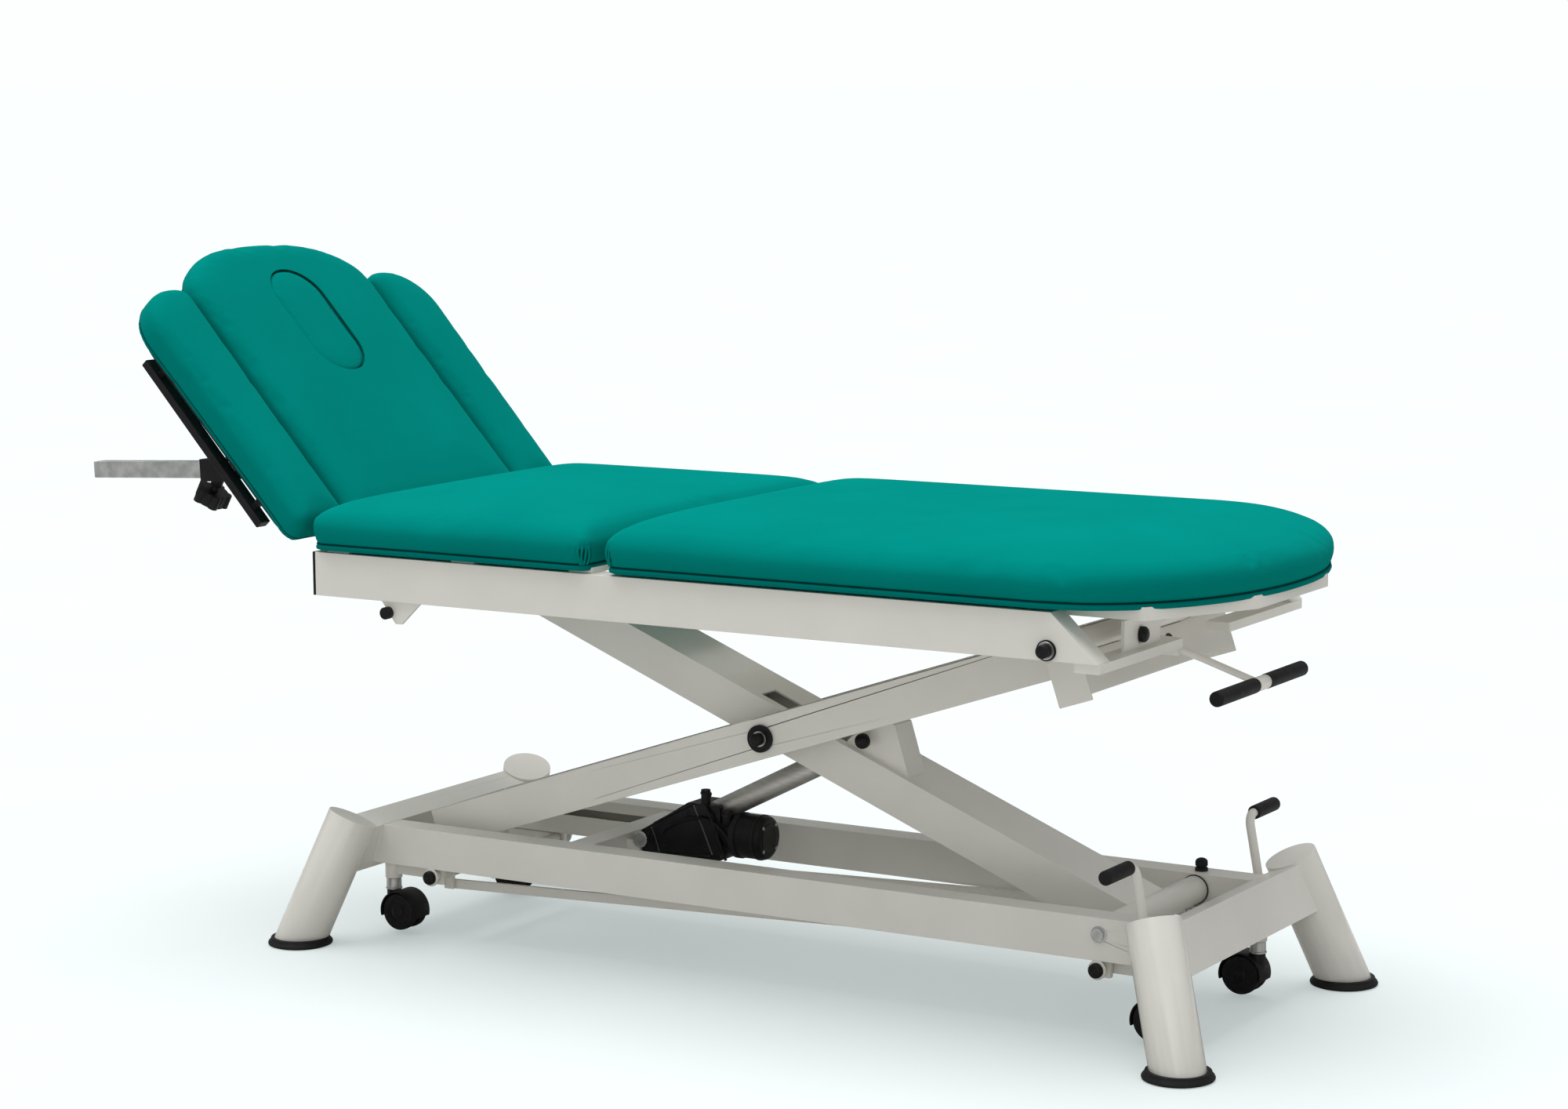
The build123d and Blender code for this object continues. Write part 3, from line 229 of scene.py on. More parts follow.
motor_black = plastic_material(
    "motor_black", (0.004, 0.004, 0.005), (0.009, 0.009, 0.0105), 0.36, 300.0, 0.0002
)
zinc = metal_material("zinc_plate", (0.42, 0.43, 0.42), (0.6, 0.61, 0.6), 0.35)
grey_tube = metal_material("satin_aluminium", (0.56, 0.55, 0.52), (0.66, 0.65, 0.62), 0.5, (1, 1, 6))
plywood = wood_material("plywood")
by_slot = {
    "off_white_paint": white_paint,
    "black_plastic": black_plastic,
    "black_rubber": black_rubber,
    "teal_vinyl": teal_vinyl,
    "zinc_steel": zinc,
    "grey_plastic": motor_black,
    "grey_aluminium": grey_tube,
    "plywood": plywood,
}
for part in frame["record"]["subparts"]:
    carried = nodes[part["node"]]
    carried.data.materials.clear()
    carried.data.materials.append(by_slot[part["material_slot"]])
    weld = carried.modifiers.new("weld", "WELD")
    weld.merge_threshold = 0.00002
    round_over = carried.modifiers.new("round", "BEVEL")
    round_over.width = 0.0012
    round_over.segments = 2
    round_over.limit_method = "ANGLE"
    round_over.angle_limit = math.radians(40)
    round_over.harden_normals = True


# ---- building pieces ----
def make_piece(name, points, faces, material, body, smooth=True):
    """A mesh piece that rides on a body."""
    mesh = bpy.data.meshes.new(name)
    mesh.from_pydata([tuple(p) for p in points], [], faces)
    mesh.validate()
    piece = bpy.data.objects.new(name, mesh)
    scene.collection.objects.link(piece)
    mesh.materials.append(material)
    turn_out(mesh)
    for face in mesh.polygons:
        face.use_smooth = smooth
    if body is not None:
        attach(piece, body)
    return piece


def turn_out(mesh):
    """Turns every face outwards."""
    shape = bmesh.new()
    shape.from_mesh(mesh)
    bmesh.ops.recalc_face_normals(shape, faces=shape.faces[:])
    shape.to_mesh(mesh)
    shape.free()


class Flat:
    """A flat frame: u and v across it, w out of it."""

    def __init__(self, origin, u, v):
        self.origin = Vector(origin)
        self.u = Vector(u).normalized()
        self.v = Vector(v).normalized()
        self.w = self.u.cross(self.v)

    def at(self, u, v, w):
        return self.origin + self.u * u + self.v * v + self.w * w


def corner_outline(corners, radii, steps=14):
    """A closed outline through corners, each rounded to its own radius, points evenly spread."""
    outline = []
    count = len(corners)
    for i, corner in enumerate(corners):
        here = Vector(corner)
        before = (Vector(corners[i - 1]) - here).normalized()
        after = (Vector(corners[(i + 1) % count]) - here).normalized()
        half = before.angle(after) / 2
        back = radii[i] / math.tan(half)
        start, stop = here + before * back, here + after * back
        middle = here + (before + after).normalized() * (radii[i] / math.sin(half))
        first, last = start - middle, stop - middle
        for k in range(steps + 1):
            outline.append(middle + arc_between(first, last, k / steps))
    return outline


def arc_between(first, last, share):
    """The vector that turns from first to last at constant length."""
    turn = math.atan2(first.x * last.y - first.y * last.x, first.dot(last)) * share
    return Vector(
        (
            first.x * math.cos(turn) - first.y * math.sin(turn),
            first.x * math.sin(turn) + first.y * math.cos(turn),
        ),
    )


def spread(outline, step):
    """The closed outline again, with points step apart."""
    points = np.array([tuple(p) for p in outline] + [tuple(outline[0])])
    runs = np.linalg.norm(np.diff(points, axis=0), axis=1)
    keep = np.concatenate([[True], runs > 1e-7])
    points = points[keep]
    along = np.concatenate([[0], np.cumsum(np.linalg.norm(np.diff(points, axis=0), axis=1))])
    count = int(along[-1] / step)
    where = np.linspace(0, along[-1], count, endpoint=False)
    return np.stack([np.interp(where, along, points[:, k]) for k in range(2)], axis=1)


def inside_distance(points, outline):
    """How far each point is inside the closed outline."""
    start = outline
    run = np.roll(outline, -1, axis=0) - start
    best = np.full(len(points), 1e9)
    for a, d in zip(start, run):
        along = np.clip(((points - a) @ d) / max(d @ d, 1e-18), 0, 1)
        best = np.minimum(best, np.linalg.norm(points - a - along[:, None] * d, axis=1))
    return best


def capped_outline(start, shoulder, tip, half, power, corner):
    """A pad from above: a square end with rounded corners and a bowed end that reaches tip."""
    square = corner_outline(
        [(start, half), (start, -half), (shoulder, -half), (shoulder, half)], [corner] * 2 + [0.001] * 2
    )
    outline = square[: 2 * 15]
    for k in range(61):
        across = -1 + 2 * k / 60
        bow = math.sqrt(max(0.0, 1 - abs(across) ** power))
        outline.append(Vector((shoulder + (tip - shoulder) * bow, across * half)))
    return outline


def cushion(name, flat, outline, profile, step=0.006):
    """A crowned pad; profile lists how far in from the outline and how high each line of it is."""
    edge = spread(outline, step)
    size = edge.max(axis=0) - edge.min(axis=0)
    long_axis = 0 if size[0] > size[1] else 1
    reach = abs(size[0] - size[1]) / 2 * 0.96
    centre = (edge.max(axis=0) + edge.min(axis=0)) / 2
    medial = np.tile(centre, (len(edge), 1))
    medial[:, long_axis] += np.clip(edge[:, long_axis] - centre[long_axis], -reach, reach)
    length = np.linalg.norm(edge - medial, axis=1)
    far_in, height = np.array(profile["top"]).T
    points, loops = [], []
    sides = edge.copy()
    for end in profile.get("straight", ()):
        outward = math.copysign(1.0, end - centre[0])
        sides[np.abs(edge[:, 0] - end) < 0.03, 0] += outward

    def lift(plan):
        """How far in a place counts as: a straight end rolls over tightly, the crown runs across."""
        crown = inside_distance(plan, sides)
        for end in profile.get("straight", ()):
            away = np.abs(plan[:, 0] - end)
            roll = away + 1.0 * np.maximum(0.0, away - 0.010)
            crown = (np.maximum(crown, 1e-5) ** -3.5 + np.maximum(roll, 1e-5) ** -3.5) ** (-1 / 3.5)
        return crown

    def ring(plan, heights):
        loops.append(range(len(points), len(points) + len(plan)))
        points.extend(flat.at(u, v, w) for (u, v), w in zip(plan, heights))

    for inward, up in [(0.03, profile["side"][0][1])] + profile["side"]:
        ring(edge + (medial - edge) * (inward / length)[:, None], np.full(len(edge), up))
    for k in range(30):
        plan = edge + (medial - edge) * ((k + 0.5) / 30) ** 1.7
        ring(plan, np.interp(lift(plan), far_in, height))
    faces = []
    count = len(edge)
    for below, above in zip(loops, loops[1:]):
        for i in range(count):
            j = (i + 1) % count
            faces.append((below[i], below[j], above[j], above[i]))
    faces.append(tuple(reversed(loops[0])))
    faces.append(tuple(loops[-1]))
    return make_piece(name, points, faces, teal_vinyl, None)


def remeshed(piece, cell):
    """Gives a pad an even mesh and takes the steps out of it."""
    remesh = piece.modifiers.new("remesh", "REMESH")
    remesh.mode = "VOXEL"
    remesh.voxel_size = cell
    remesh.use_smooth_shade = True
    smooth = piece.modifiers.new("smooth", "SMOOTH")
    smooth.iterations = 5
    apply_modifiers(piece)


def swell(piece, pressure, cap):
    """Lets a pad swell a little under pressure, no point moving further than cap."""
    rest = read_points(piece.data)
    cloth = piece.modifiers.new("cloth", "CLOTH")
    cloth.settings.use_pressure = True
    cloth.settings.uniform_pressure_force = pressure
    cloth.settings.effector_weights.gravity = 0
    cloth.settings.quality = 4
    cloth.settings.tension_stiffness = 30
    cloth.settings.compression_stiffness = 30
    cloth.settings.bending_stiffness = 8
    for step in range(1, 21):
        scene.frame_set(step)
    blown = piece.evaluated_get(bpy.context.evaluated_depsgraph_get()).data
    moved = read_points(blown) - rest
    far = np.linalg.norm(moved, axis=1)
    limit = cap * np.tanh(far / cap) / np.maximum(far, 1e-9)
    piece.modifiers.remove(cloth)
    scene.frame_set(1)
    write_points(piece.data, rest + moved * limit[:, None])


def read_points(mesh):
    """The mesh's points as an array."""
    co = np.zeros(len(mesh.vertices) * 3, np.float32)
    mesh.vertices.foreach_get("co", co)
    return co.reshape(-1, 3).astype(float)


def write_points(mesh, points):
    """Moves the mesh's points."""
    mesh.vertices.foreach_set("co", points.astype(np.float32).ravel())
    mesh.update()


def apply_modifiers(piece):
    """Makes the piece's modifiers part of its mesh."""
    depsgraph = bpy.context.evaluated_depsgraph_get()
    depsgraph.update()
    solid = bpy.data.meshes.new_from_object(piece.evaluated_get(depsgraph))
    piece.modifiers.clear()
    old = piece.data
    piece.data = solid
    bpy.data.meshes.remove(old)


def pleated(piece, flat, corners, low, high, depth=0.0022, pitch=0.0095):
    """Narrow upright folds where the cover is gathered round each corner."""
    points = read_points(piece.data)
    relative = points - np.array(flat.origin)
    u, v, w = relative @ np.array(flat.u), relative @ np.array(flat.v), relative @ np.array(flat.w)
    out = np.zeros(len(points))
    for cu, cv, mid_u, mid_v in corners:
        away = np.hypot(u - cu, v - cv)
        round_corner = (u - cu) * np.sign(cu - mid_u) - (v - cv) * np.sign(cv - mid_v)
        near = np.exp(-((away / 0.03) ** 2))
        fade = np.clip((w - low) / 0.008, 0, 1) * np.clip((high - w) / (0.6 * (high - low)), 0, 1)
        out += depth * near * fade * (np.cos(2 * math.pi * round_corner / pitch) - 0.6)
    normals = np.zeros(len(points) * 3, np.float32)
    piece.data.vertices.foreach_get("normal", normals)
    write_points(piece.data, points + normals.reshape(-1, 3) * out[:, None])


def subdivided(piece):
    """One level of subdivision, part of the mesh."""
    finer = piece.modifiers.new("finer", "SUBSURF")
    finer.levels = finer.render_levels = 1
    apply_modifiers(piece)


def pad(name, flat, outline, profile, cell, body, node, pressure=3.0, cap=0.004, corners=()):
    """A finished cushion that stands for a CAD pad."""
    piece = cushion(name, flat, outline, profile)
    remeshed(piece, cell)
    swell(piece, pressure, cap)
    side = profile["side"]
    pleated(piece, flat, corners, side[0][1], profile["top"][4][1])
    subdivided(piece)
    for face in piece.data.polygons:
        face.use_smooth = True
    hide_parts(node)
    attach(piece, body)
    return piece


def surface(piece):
    """A tree for finding the piece's surface."""
    return BVHTree.FromPolygons(
        [v.co.copy() for v in piece.data.vertices], [tuple(f.vertices) for f in piece.data.polygons]
    )


def welt(name, flat, outline, up, radius, material, body, out=0.0, on=None, probe=None):
    """A round cord along the closed outline at height up, laid against a surface felt at height probe."""
    edge = spread(outline, 0.005)
    count = len(edge)
    ahead = np.roll(edge, -1, axis=0) - np.roll(edge, 1, axis=0)
    ahead /= np.linalg.norm(ahead, axis=1)[:, None]
    normal = np.stack([ahead[:, 1], -ahead[:, 0]], axis=1)
    area = np.sum(edge[:, 0] * np.roll(edge[:, 1], -1) - np.roll(edge[:, 0], -1) * edge[:, 1])
    if area < 0:
        normal = -normal
    sides = 8
    points, faces = [], []
    for (u, v), (nu, nv) in zip(edge, normal):
        outward = flat.u * nu + flat.v * nv
        core = flat.at(u, v, up)
        if on is not None:
            raised = flat.w * ((up if probe is None else probe) - up)
            found = on.ray_cast(core + raised + outward * 0.03, -outward, 0.06)[0]
            if found is not None:
                core = found - raised
        for k in range(sides):
            turn = 2 * math.pi * k / sides
            points.append(
                core + outward * (out + radius * math.cos(turn)) + flat.w * (radius * math.sin(turn)),
            )
    for i in range(count):
        j = (i + 1) % count
        for k in range(sides):
            m = (k + 1) % sides
            faces.append((i * sides + k, i * sides + m, j * sides + m, j * sides + k))
    piece = make_piece(name, points, faces, material, body)
    return piece


def lathe(name, profile, origin, axis, material, body, turns=40):
    """A turned piece: profile lists distance along the axis and radius."""
    axis = Vector(axis).normalized()
    side = axis.orthogonal().normalized()
    other = axis.cross(side)
    points, faces = [], []
    for along, radius in profile:
        for k in range(turns):
            turn = 2 * math.pi * k / turns
            spoke = side * math.cos(turn) + other * math.sin(turn)
            points.append(Vector(origin) + axis * along + spoke * max(radius, 1e-5))
    rows = len(profile)
    for i in range(rows - 1):
        for k in range(turns):
            m = (k + 1) % turns
            faces.append((i * turns + k, i * turns + m, (i + 1) * turns + m, (i + 1) * turns + k))
    faces.append(tuple(range(turns)))
    faces.append(tuple((rows - 1) * turns + k for k in range(turns)))
    piece = make_piece(name, points, faces, material, body)
    crease_sharp(piece)
    return piece


def crease_sharp(piece, angle=35):
    """Smooth shading, with hard edges where faces meet at more than angle degrees."""
    shape = bmesh.new()
    shape.from_mesh(piece.data)
    for edge in shape.edges:
        if len(edge.link_faces) == 2 and edge.calc_face_angle() > math.radians(angle):
            edge.smooth = False
    shape.to_mesh(piece.data)
    shape.free()


def dome(radius, high, steps=5):
    """The profile of a domed cap that stands on its base."""
    rim = [(0.0, radius), (high * 0.45, radius)]
    for k in range(1, steps + 1):
        turn = k / steps * math.pi / 2
        rim.append((high * (0.45 + 0.55 * math.sin(turn)), radius * math.cos(turn)))
    return rim


def hose(name, route, radius, material, body, closed=False):
    """A round tube along a smooth curve through the route."""
    curve = bpy.data.curves.new(name, "CURVE")
    curve.dimensions = "3D"
    curve.bevel_depth = radius
    curve.bevel_resolution = 3
    curve.resolution_u = 8
    spline = curve.splines.new("NURBS")
    spline.points.add(len(route) - 1)
    for point, place in zip(spline.points, route):
        point.co = (*place, 1)
    spline.order_u = 3
    spline.use_endpoint_u = not closed
    spline.use_cyclic_u = closed
    curve.use_fill_caps = True
    piece = bpy.data.objects.new(name, curve)
    scene.collection.objects.link(piece)
    curve.materials.append(material)
    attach(piece, body)
    return piece


def plate(name, flat, outline, low, high, material, body, round_edge=0.001):
    """A flat piece with a rounded rim, between two heights over its frame."""
    points, faces = [], []
    count = len(outline)
    for height in (low, high):
        points.extend(flat.at(u, v, height) for u, v in outline)
    for i in range(count):
        j = (i + 1) % count
        faces.append((i, j, count + j, count + i))
    faces.append(tuple(range(count)))
    faces.append(tuple(range(count, 2 * count)))
    piece = make_piece(name, points, faces, material, body)
    rim = piece.modifiers.new("rim", "BEVEL")
    rim.width = round_edge
    rim.segments = 3
    rim.limit_method = "ANGLE"
    return piece


# ---- places ----
rails_low, rails_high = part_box("base_rails")
middle_x = (rails_low.x + rails_high.x) / 2
floor_drop = 0.1208 - rails_low.z
pins = {j["name"]: Vector(j["pos_m"]) for j in frame["joints"] if j.get("pos_m")}


def at(x, y, z):
    """A point given in the base's own millimetres."""
    return Vector((middle_x + x / 1000, y / 1000, z / 1000 - floor_drop))


# ---- seat and leg cushions ----
level = Flat((0, 0, 0), (1, 0, 0), (0, 1, 0))
seat_low, seat_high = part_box("seat_pad")
board_low, board_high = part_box("seat_board")
leg_low, leg_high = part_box("leg_pad")
hem_low = board_low.z - 0.0035
pad_top = seat_high.z
flat_pad = {
    "side": [(0.009, hem_low), (0.007, hem_low + 0.006), (0.0035, hem_low + 0.013), (0.001, hem_low + 0.021)],
    "top": [
        (0.0, pad_top - 0.049),
        (0.001, pad_top - 0.042),
        (0.004, pad_top - 0.035),
        (0.010, pad_top - 0.028),
        (0.020, pad_top - 0.021),
        (0.048, pad_top - 0.011),
        (0.070, pad_top - 0.006),
        (0.100, pad_top - 0.001),
        (0.150, pad_top + 0.004),
        (0.200, pad_top + 0.006),
        (0.340, pad_top + 0.008),
    ],
}
half_wide = seat_high.y
corner = 0.022
seat_head, seat_foot, leg_head = seat_low.x - 0.010, seat_high.x + 0.006, leg_low.x - 0.012
seat_outline = corner_outline(
    [(seat_head, -half_wide), (seat_foot, -half_wide), (seat_foot, half_wide), (seat_head, half_wide)],
    [corner] * 4,
)
seat_middle = (seat_head + seat_foot) / 2
seat_corners = [(x, y, seat_middle, 0.0) for x in (seat_head, seat_foot) for y in (-half_wide, half_wide)]
seat_profile = dict(flat_pad, straight=(seat_head, seat_foot))
crown_drop, crown_reach = 0.005, 0.1
seat_profile["top"] = [
    (inward, up - crown_drop * min(1.0, inward / crown_reach)) for inward, up in flat_pad["top"]
]
leg_profile = dict(flat_pad, straight=(leg_head,))
seat = pad(
    "seat_cushion", level, seat_outline, seat_profile, 0.006, "upper_frame", "seat_pad", corners=seat_corners
)
leg_outline = capped_outline(leg_head, leg_high.x - 0.240, leg_high.x - 0.011, half_wide, 2.1, corner)
leg_corners = [(leg_head, y, leg_high.x, 0.0) for y in (-half_wide, half_wide)]
leg = pad(
    "leg_cushion", level, leg_outline, leg_profile, 0.006, "leg_section", "leg_pad", corners=leg_corners
)

for name, piece, outline, body in (
    ("seat", seat, seat_outline, "upper_frame"),
    ("leg", leg, leg_outline, "leg_section"),
):
    skin = surface(piece)
    welt(
        f"{name}_hem",
        level,
        outline,
        hem_low + 0.0036,
        0.0044,
        shaded_teal_hem,
        body,
        -0.0042,
        skin,
        hem_low + 0.016,
    )
    # a near-black cord just above the hem paints the shade in the hem's seam
    welt(
        f"{name}_hem_seam_shade",
        level,
        outline,
        hem_low + 0.0086,
        0.0011,
        painted_seam_shade,
        body,
        -0.0012,
        skin,
        hem_low + 0.014,
    )


# height above the hem and distance proud of the cover, along one tuck
fold_shape = [
    (0.003, 0.0), (0.008, 0.0008), (0.016, 0.0010), (0.024, 0.0008), (0.031, 0.0002), (0.037, -0.0012)
]


def fold(name, centre, turn, skin, body):
    """A narrow upright tuck of the cover, on the rounded corner about centre, with a near-black cord beside it as
    painted shade in its crease.
    """
    outward = Vector((math.cos(turn), math.sin(turn), 0))
    across = Vector((-outward.y, outward.x, 0))
    route = []
    for k, (up, proud) in enumerate(fold_shape):
        sideways = across * (0.0012 * math.sin(k * 1.3 + turn * 5))
        start = level.at(centre[0], centre[1], hem_low + up)
        found = skin.ray_cast(start + outward * 0.05, -outward, 0.07)[0]
        if found is not None:
            route.append(found + outward * proud + sideways)
    if len(route) > 2:
        hose(name, route, 0.0021, teal_vinyl, body)
        # a near-black cord beside the tuck paints the shade in its crease
        crease_shade = [p + across * 0.0026 - outward * 0.0004 for p in route[:-1]]
        hose(f"{name}_crease", crease_shade, 0.0011, painted_seam_shade, body)


for name, piece, body, end, inner in (
    ("seat", seat, "upper_frame", seat_foot - corner, 0),
    ("leg", leg, "leg_section", leg_head + corner, 180),
):
    skin = surface(piece)
    for side in (-1, 1):
        for number, lean in enumerate((18, 36, 54, 70)):
            turn = math.radians(side * (lean if inner == 0 else 180 - lean))
            fold(f"{name}_fold_{side + 1}_{number}", (end, side * (half_wide - corner)), turn, skin, body)

board_wide = board_high.y - 0.012
board_from, board_to = board_low.x + 0.008, board_high.x - 0.022
panel_outline = corner_outline(
    [(board_from, -board_wide), (board_to, -board_wide), (board_to, board_wide), (board_from, board_wide)],
    [0.025] * 4,
)
panel = plate(
    "seat_panel", level, panel_outline, board_low.z, board_high.z, plywood, "upper_frame"
)
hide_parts("seat_board")

# ---- backrest cushions ----
tilt = math.radians(47.5)
back = Flat(pins["backrest_tilt"], (-math.cos(tilt), 0, math.sin(tilt)), (0, -1, 0))
under, back_face = -0.017, 0.036


def thin_pad(low):
    """The profile of a thin pad that rolls over at its edge."""
    return {
        "side": [(0.006, low), (0.0015, low + 0.003), (0.0, low + 0.010)],
        "top": [
            (0.0, back_face - 0.022),
            (0.0015, back_face - 0.016),
            (0.005, back_face - 0.011),
            (0.011, back_face - 0.0065),
            (0.020, back_face - 0.0035),
            (0.040, back_face - 0.001),
            (0.090, back_face + 0.001),
            (0.300, back_face + 0.003),
        ],
    }


plug_outline = corner_outline(
    [(0.2505, -0.058), (0.4575, -0.058), (0.4575, 0.058), (0.2505, 0.058)], [0.0565] * 4
)
back_outline = capped_outline(-0.014, 0.425, 0.527, 0.219, 2.4, 0.02)
back_cushion = pad(
    "back_cushion", back, back_outline, thin_pad(-0.006), 0.005, "backrest", "backrest_pad", cap=0.003
)
plug_centre, plug_clearance = Vector((0.354, 0)), 1.006
cut_outline = [plug_centre + (p - plug_centre) * plug_clearance for p in plug_outline]
cut_count = len(cut_outline)
cutter = make_piece(
    "plug_cutter",
    [back.at(u, v, w) for w in (-0.03, 0.06) for u, v in cut_outline],
    [(i, (i + 1) % cut_count, cut_count + (i + 1) % cut_count, cut_count + i) for i in range(cut_count)]
    + [tuple(range(cut_count)), tuple(range(cut_count, 2 * cut_count))],
    teal_vinyl,
    None,
)
hole = back_cushion.modifiers.new("hole", "BOOLEAN")
hole.object = cutter
hole.solver = "EXACT"
apply_modifiers(back_cushion)
bpy.data.objects.remove(cutter)
for face in back_cushion.data.polygons:
    face.use_smooth = True
crease_sharp(back_cushion, 50)
plug_pad = {
    "side": [(0.003, -0.006), (0.0005, -0.003), (0.0, 0.010)],
    "top": [
        (0.0, back_face - 0.004),
        (0.0006, back_face - 0.0014),
        (0.0020, back_face + 0.0004),
        (0.0045, back_face + 0.0016),
        (0.0120, back_face + 0.0026),
        (0.0300, back_face + 0.0035),
        (0.3000, back_face + 0.0050),
    ],
}
pad("plug_cushion", back, plug_outline, plug_pad, 0.0025, "face_plug", "face_plug", cap=0.001)
# a near-black cord round the plug paints the shade in the groove between plug and back pad
welt("plug_groove_shade", back, plug_outline, back_face + 0.0016, 0.0012, painted_seam_shade, "backrest", 0.0008)
welt("back_hem", back, back_outline, -0.002, 0.003, shaded_teal_hem, "backrest", -0.001, surface(back_cushion))
# a near-black cord along the edge paints the shade in the back pad's seam
welt("back_seam_shade", back, back_outline, 0.0025, 0.0009, painted_seam_shade, "backrest", -0.0002, surface(back_cushion))

for side, hand in ((1, "right"), (-1, "left")):
    arm_corners = [
        (-0.008, side * 0.2255), (0.452, side * 0.2255), (0.452, side * 0.349), (-0.008, side * 0.337)
    ]
    arm_outline = corner_outline(arm_corners, [0.02, 0.025, 0.085, 0.02])
    body = f"arm_{hand}"
    arm = pad(
        f"arm_cushion_{hand}", back, arm_outline, thin_pad(under), 0.005, body, f"arm_pad_{hand}", cap=0.003
    )
    middle = Vector((0.22, side * 0.285))
    backing = [middle + (p - middle) * 0.9 for p in arm_outline]
    plate(
        f"arm_backing_{hand}",
        back,
        backing,
        under - 0.0012,
        under + 0.008,
        black_plastic,
        body,
    )
    skin = surface(arm)
    welt(f"arm_hem_{hand}", back, arm_outline, under + 0.004, 0.003, shaded_teal_hem, body, -0.0015, skin)
    # a near-black cord along the edge paints the shade in the arm pad's seam
    welt(f"arm_seam_shade_{hand}", back, arm_outline, under + 0.0085, 0.0009, painted_seam_shade, body, -0.0002, skin)

# ---- feet, bolts, caps and castors ----
nodes["legs"].data.materials[0] = gloss_paint
foot_profile = [
    (0.0, 0.045), (0.0012, 0.0482), (0.0035, 0.049), (0.006, 0.048), (0.0085, 0.0452), (0.012, 0.0442)
]
feet = []
for number, mount in enumerate(frame["record"]["mounts"]):
    feet.append(
        lathe(
            f"foot_{number}", foot_profile, mount["pos_m"], (0, 0, 1), black_rubber, "base"
        ),
    )
stop_base = at(562.0, 155.0, 180.8)
stop_turns = [k / 5 * math.pi / 2 for k in range(5)]
stop_profile = [(0.0, 0.0095), (0.004, 0.0095), (0.0048, 0.0078), (0.0065, 0.0078), (0.008, 0.009)]
stop_profile += [(0.013 + 0.006 * math.sin(turn), 0.009 * math.cos(turn)) for turn in stop_turns]
stop_profile.append((0.019, 0.0005))
feet.append(lathe("bump_stop", stop_profile, stop_base, (0, 0, 1), black_rubber, "base"))
for foot in feet:
    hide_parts("rubber_feet_and_buffer")


def ring(name, centre, axis, inner, outer, thick, material, body, slot):
    """A flat washer with softened edges that stands on centre."""
    soft = min(thick, outer - inner) * 0.25
    profile = [
        (0.0, inner),
        (0.0, outer),
        (thick - soft, outer),
        (thick, outer - soft),
        (thick, inner + soft),
        (thick - soft, inner),
    ]
    return lathe(name, profile, centre, axis, material, body)


# profiles turned about an axis: height along it and radius
bolt_head = [
    (0, 0.0115),
    (0.0012, 0.0115),
    (0.0016, 0.0105),
    (0.0016, 0.0088),
    (0.0055, 0.0088),
    (0.0062, 0.008),
    (0.0062, 0.0045),
    (0.0035, 0.0042),
]
stem_profile = [(0, 0.0125), (0.002, 0.0125), (0.003, 0.0114), (0.0165, 0.0114)]
cover_screw = [(0, 0.0042), (0.0012, 0.004), (0.0018, 0.003), (0.0018, 0.0016), (0.0006, 0.0015)]
motor_screw = [(0, 0.0028), (0.0012, 0.0026), (0.0016, 0.0016), (0.0006, 0.0014)]
pan_head = [(0, 0.0058), (0.0012, 0.0056), (0.0026, 0.0042), (0.003, 0.0022), (0.0016, 0.002)]
pin_disc = [
    (0, 0.0128),
    (0.0014, 0.0128),
    (0.002, 0.0118),
    (0.002, 0.0088),
    (0.0012, 0.0084),
    (0.0012, 0.004),
    (0.002, 0.0036),
]
opening_rim = [
    (0, 0.0132), (0.0004, 0.0132), (0.0007, 0.0122), (0.0007, 0.0118), (0.0003, 0.0112), (0.0003, 0.004)
]

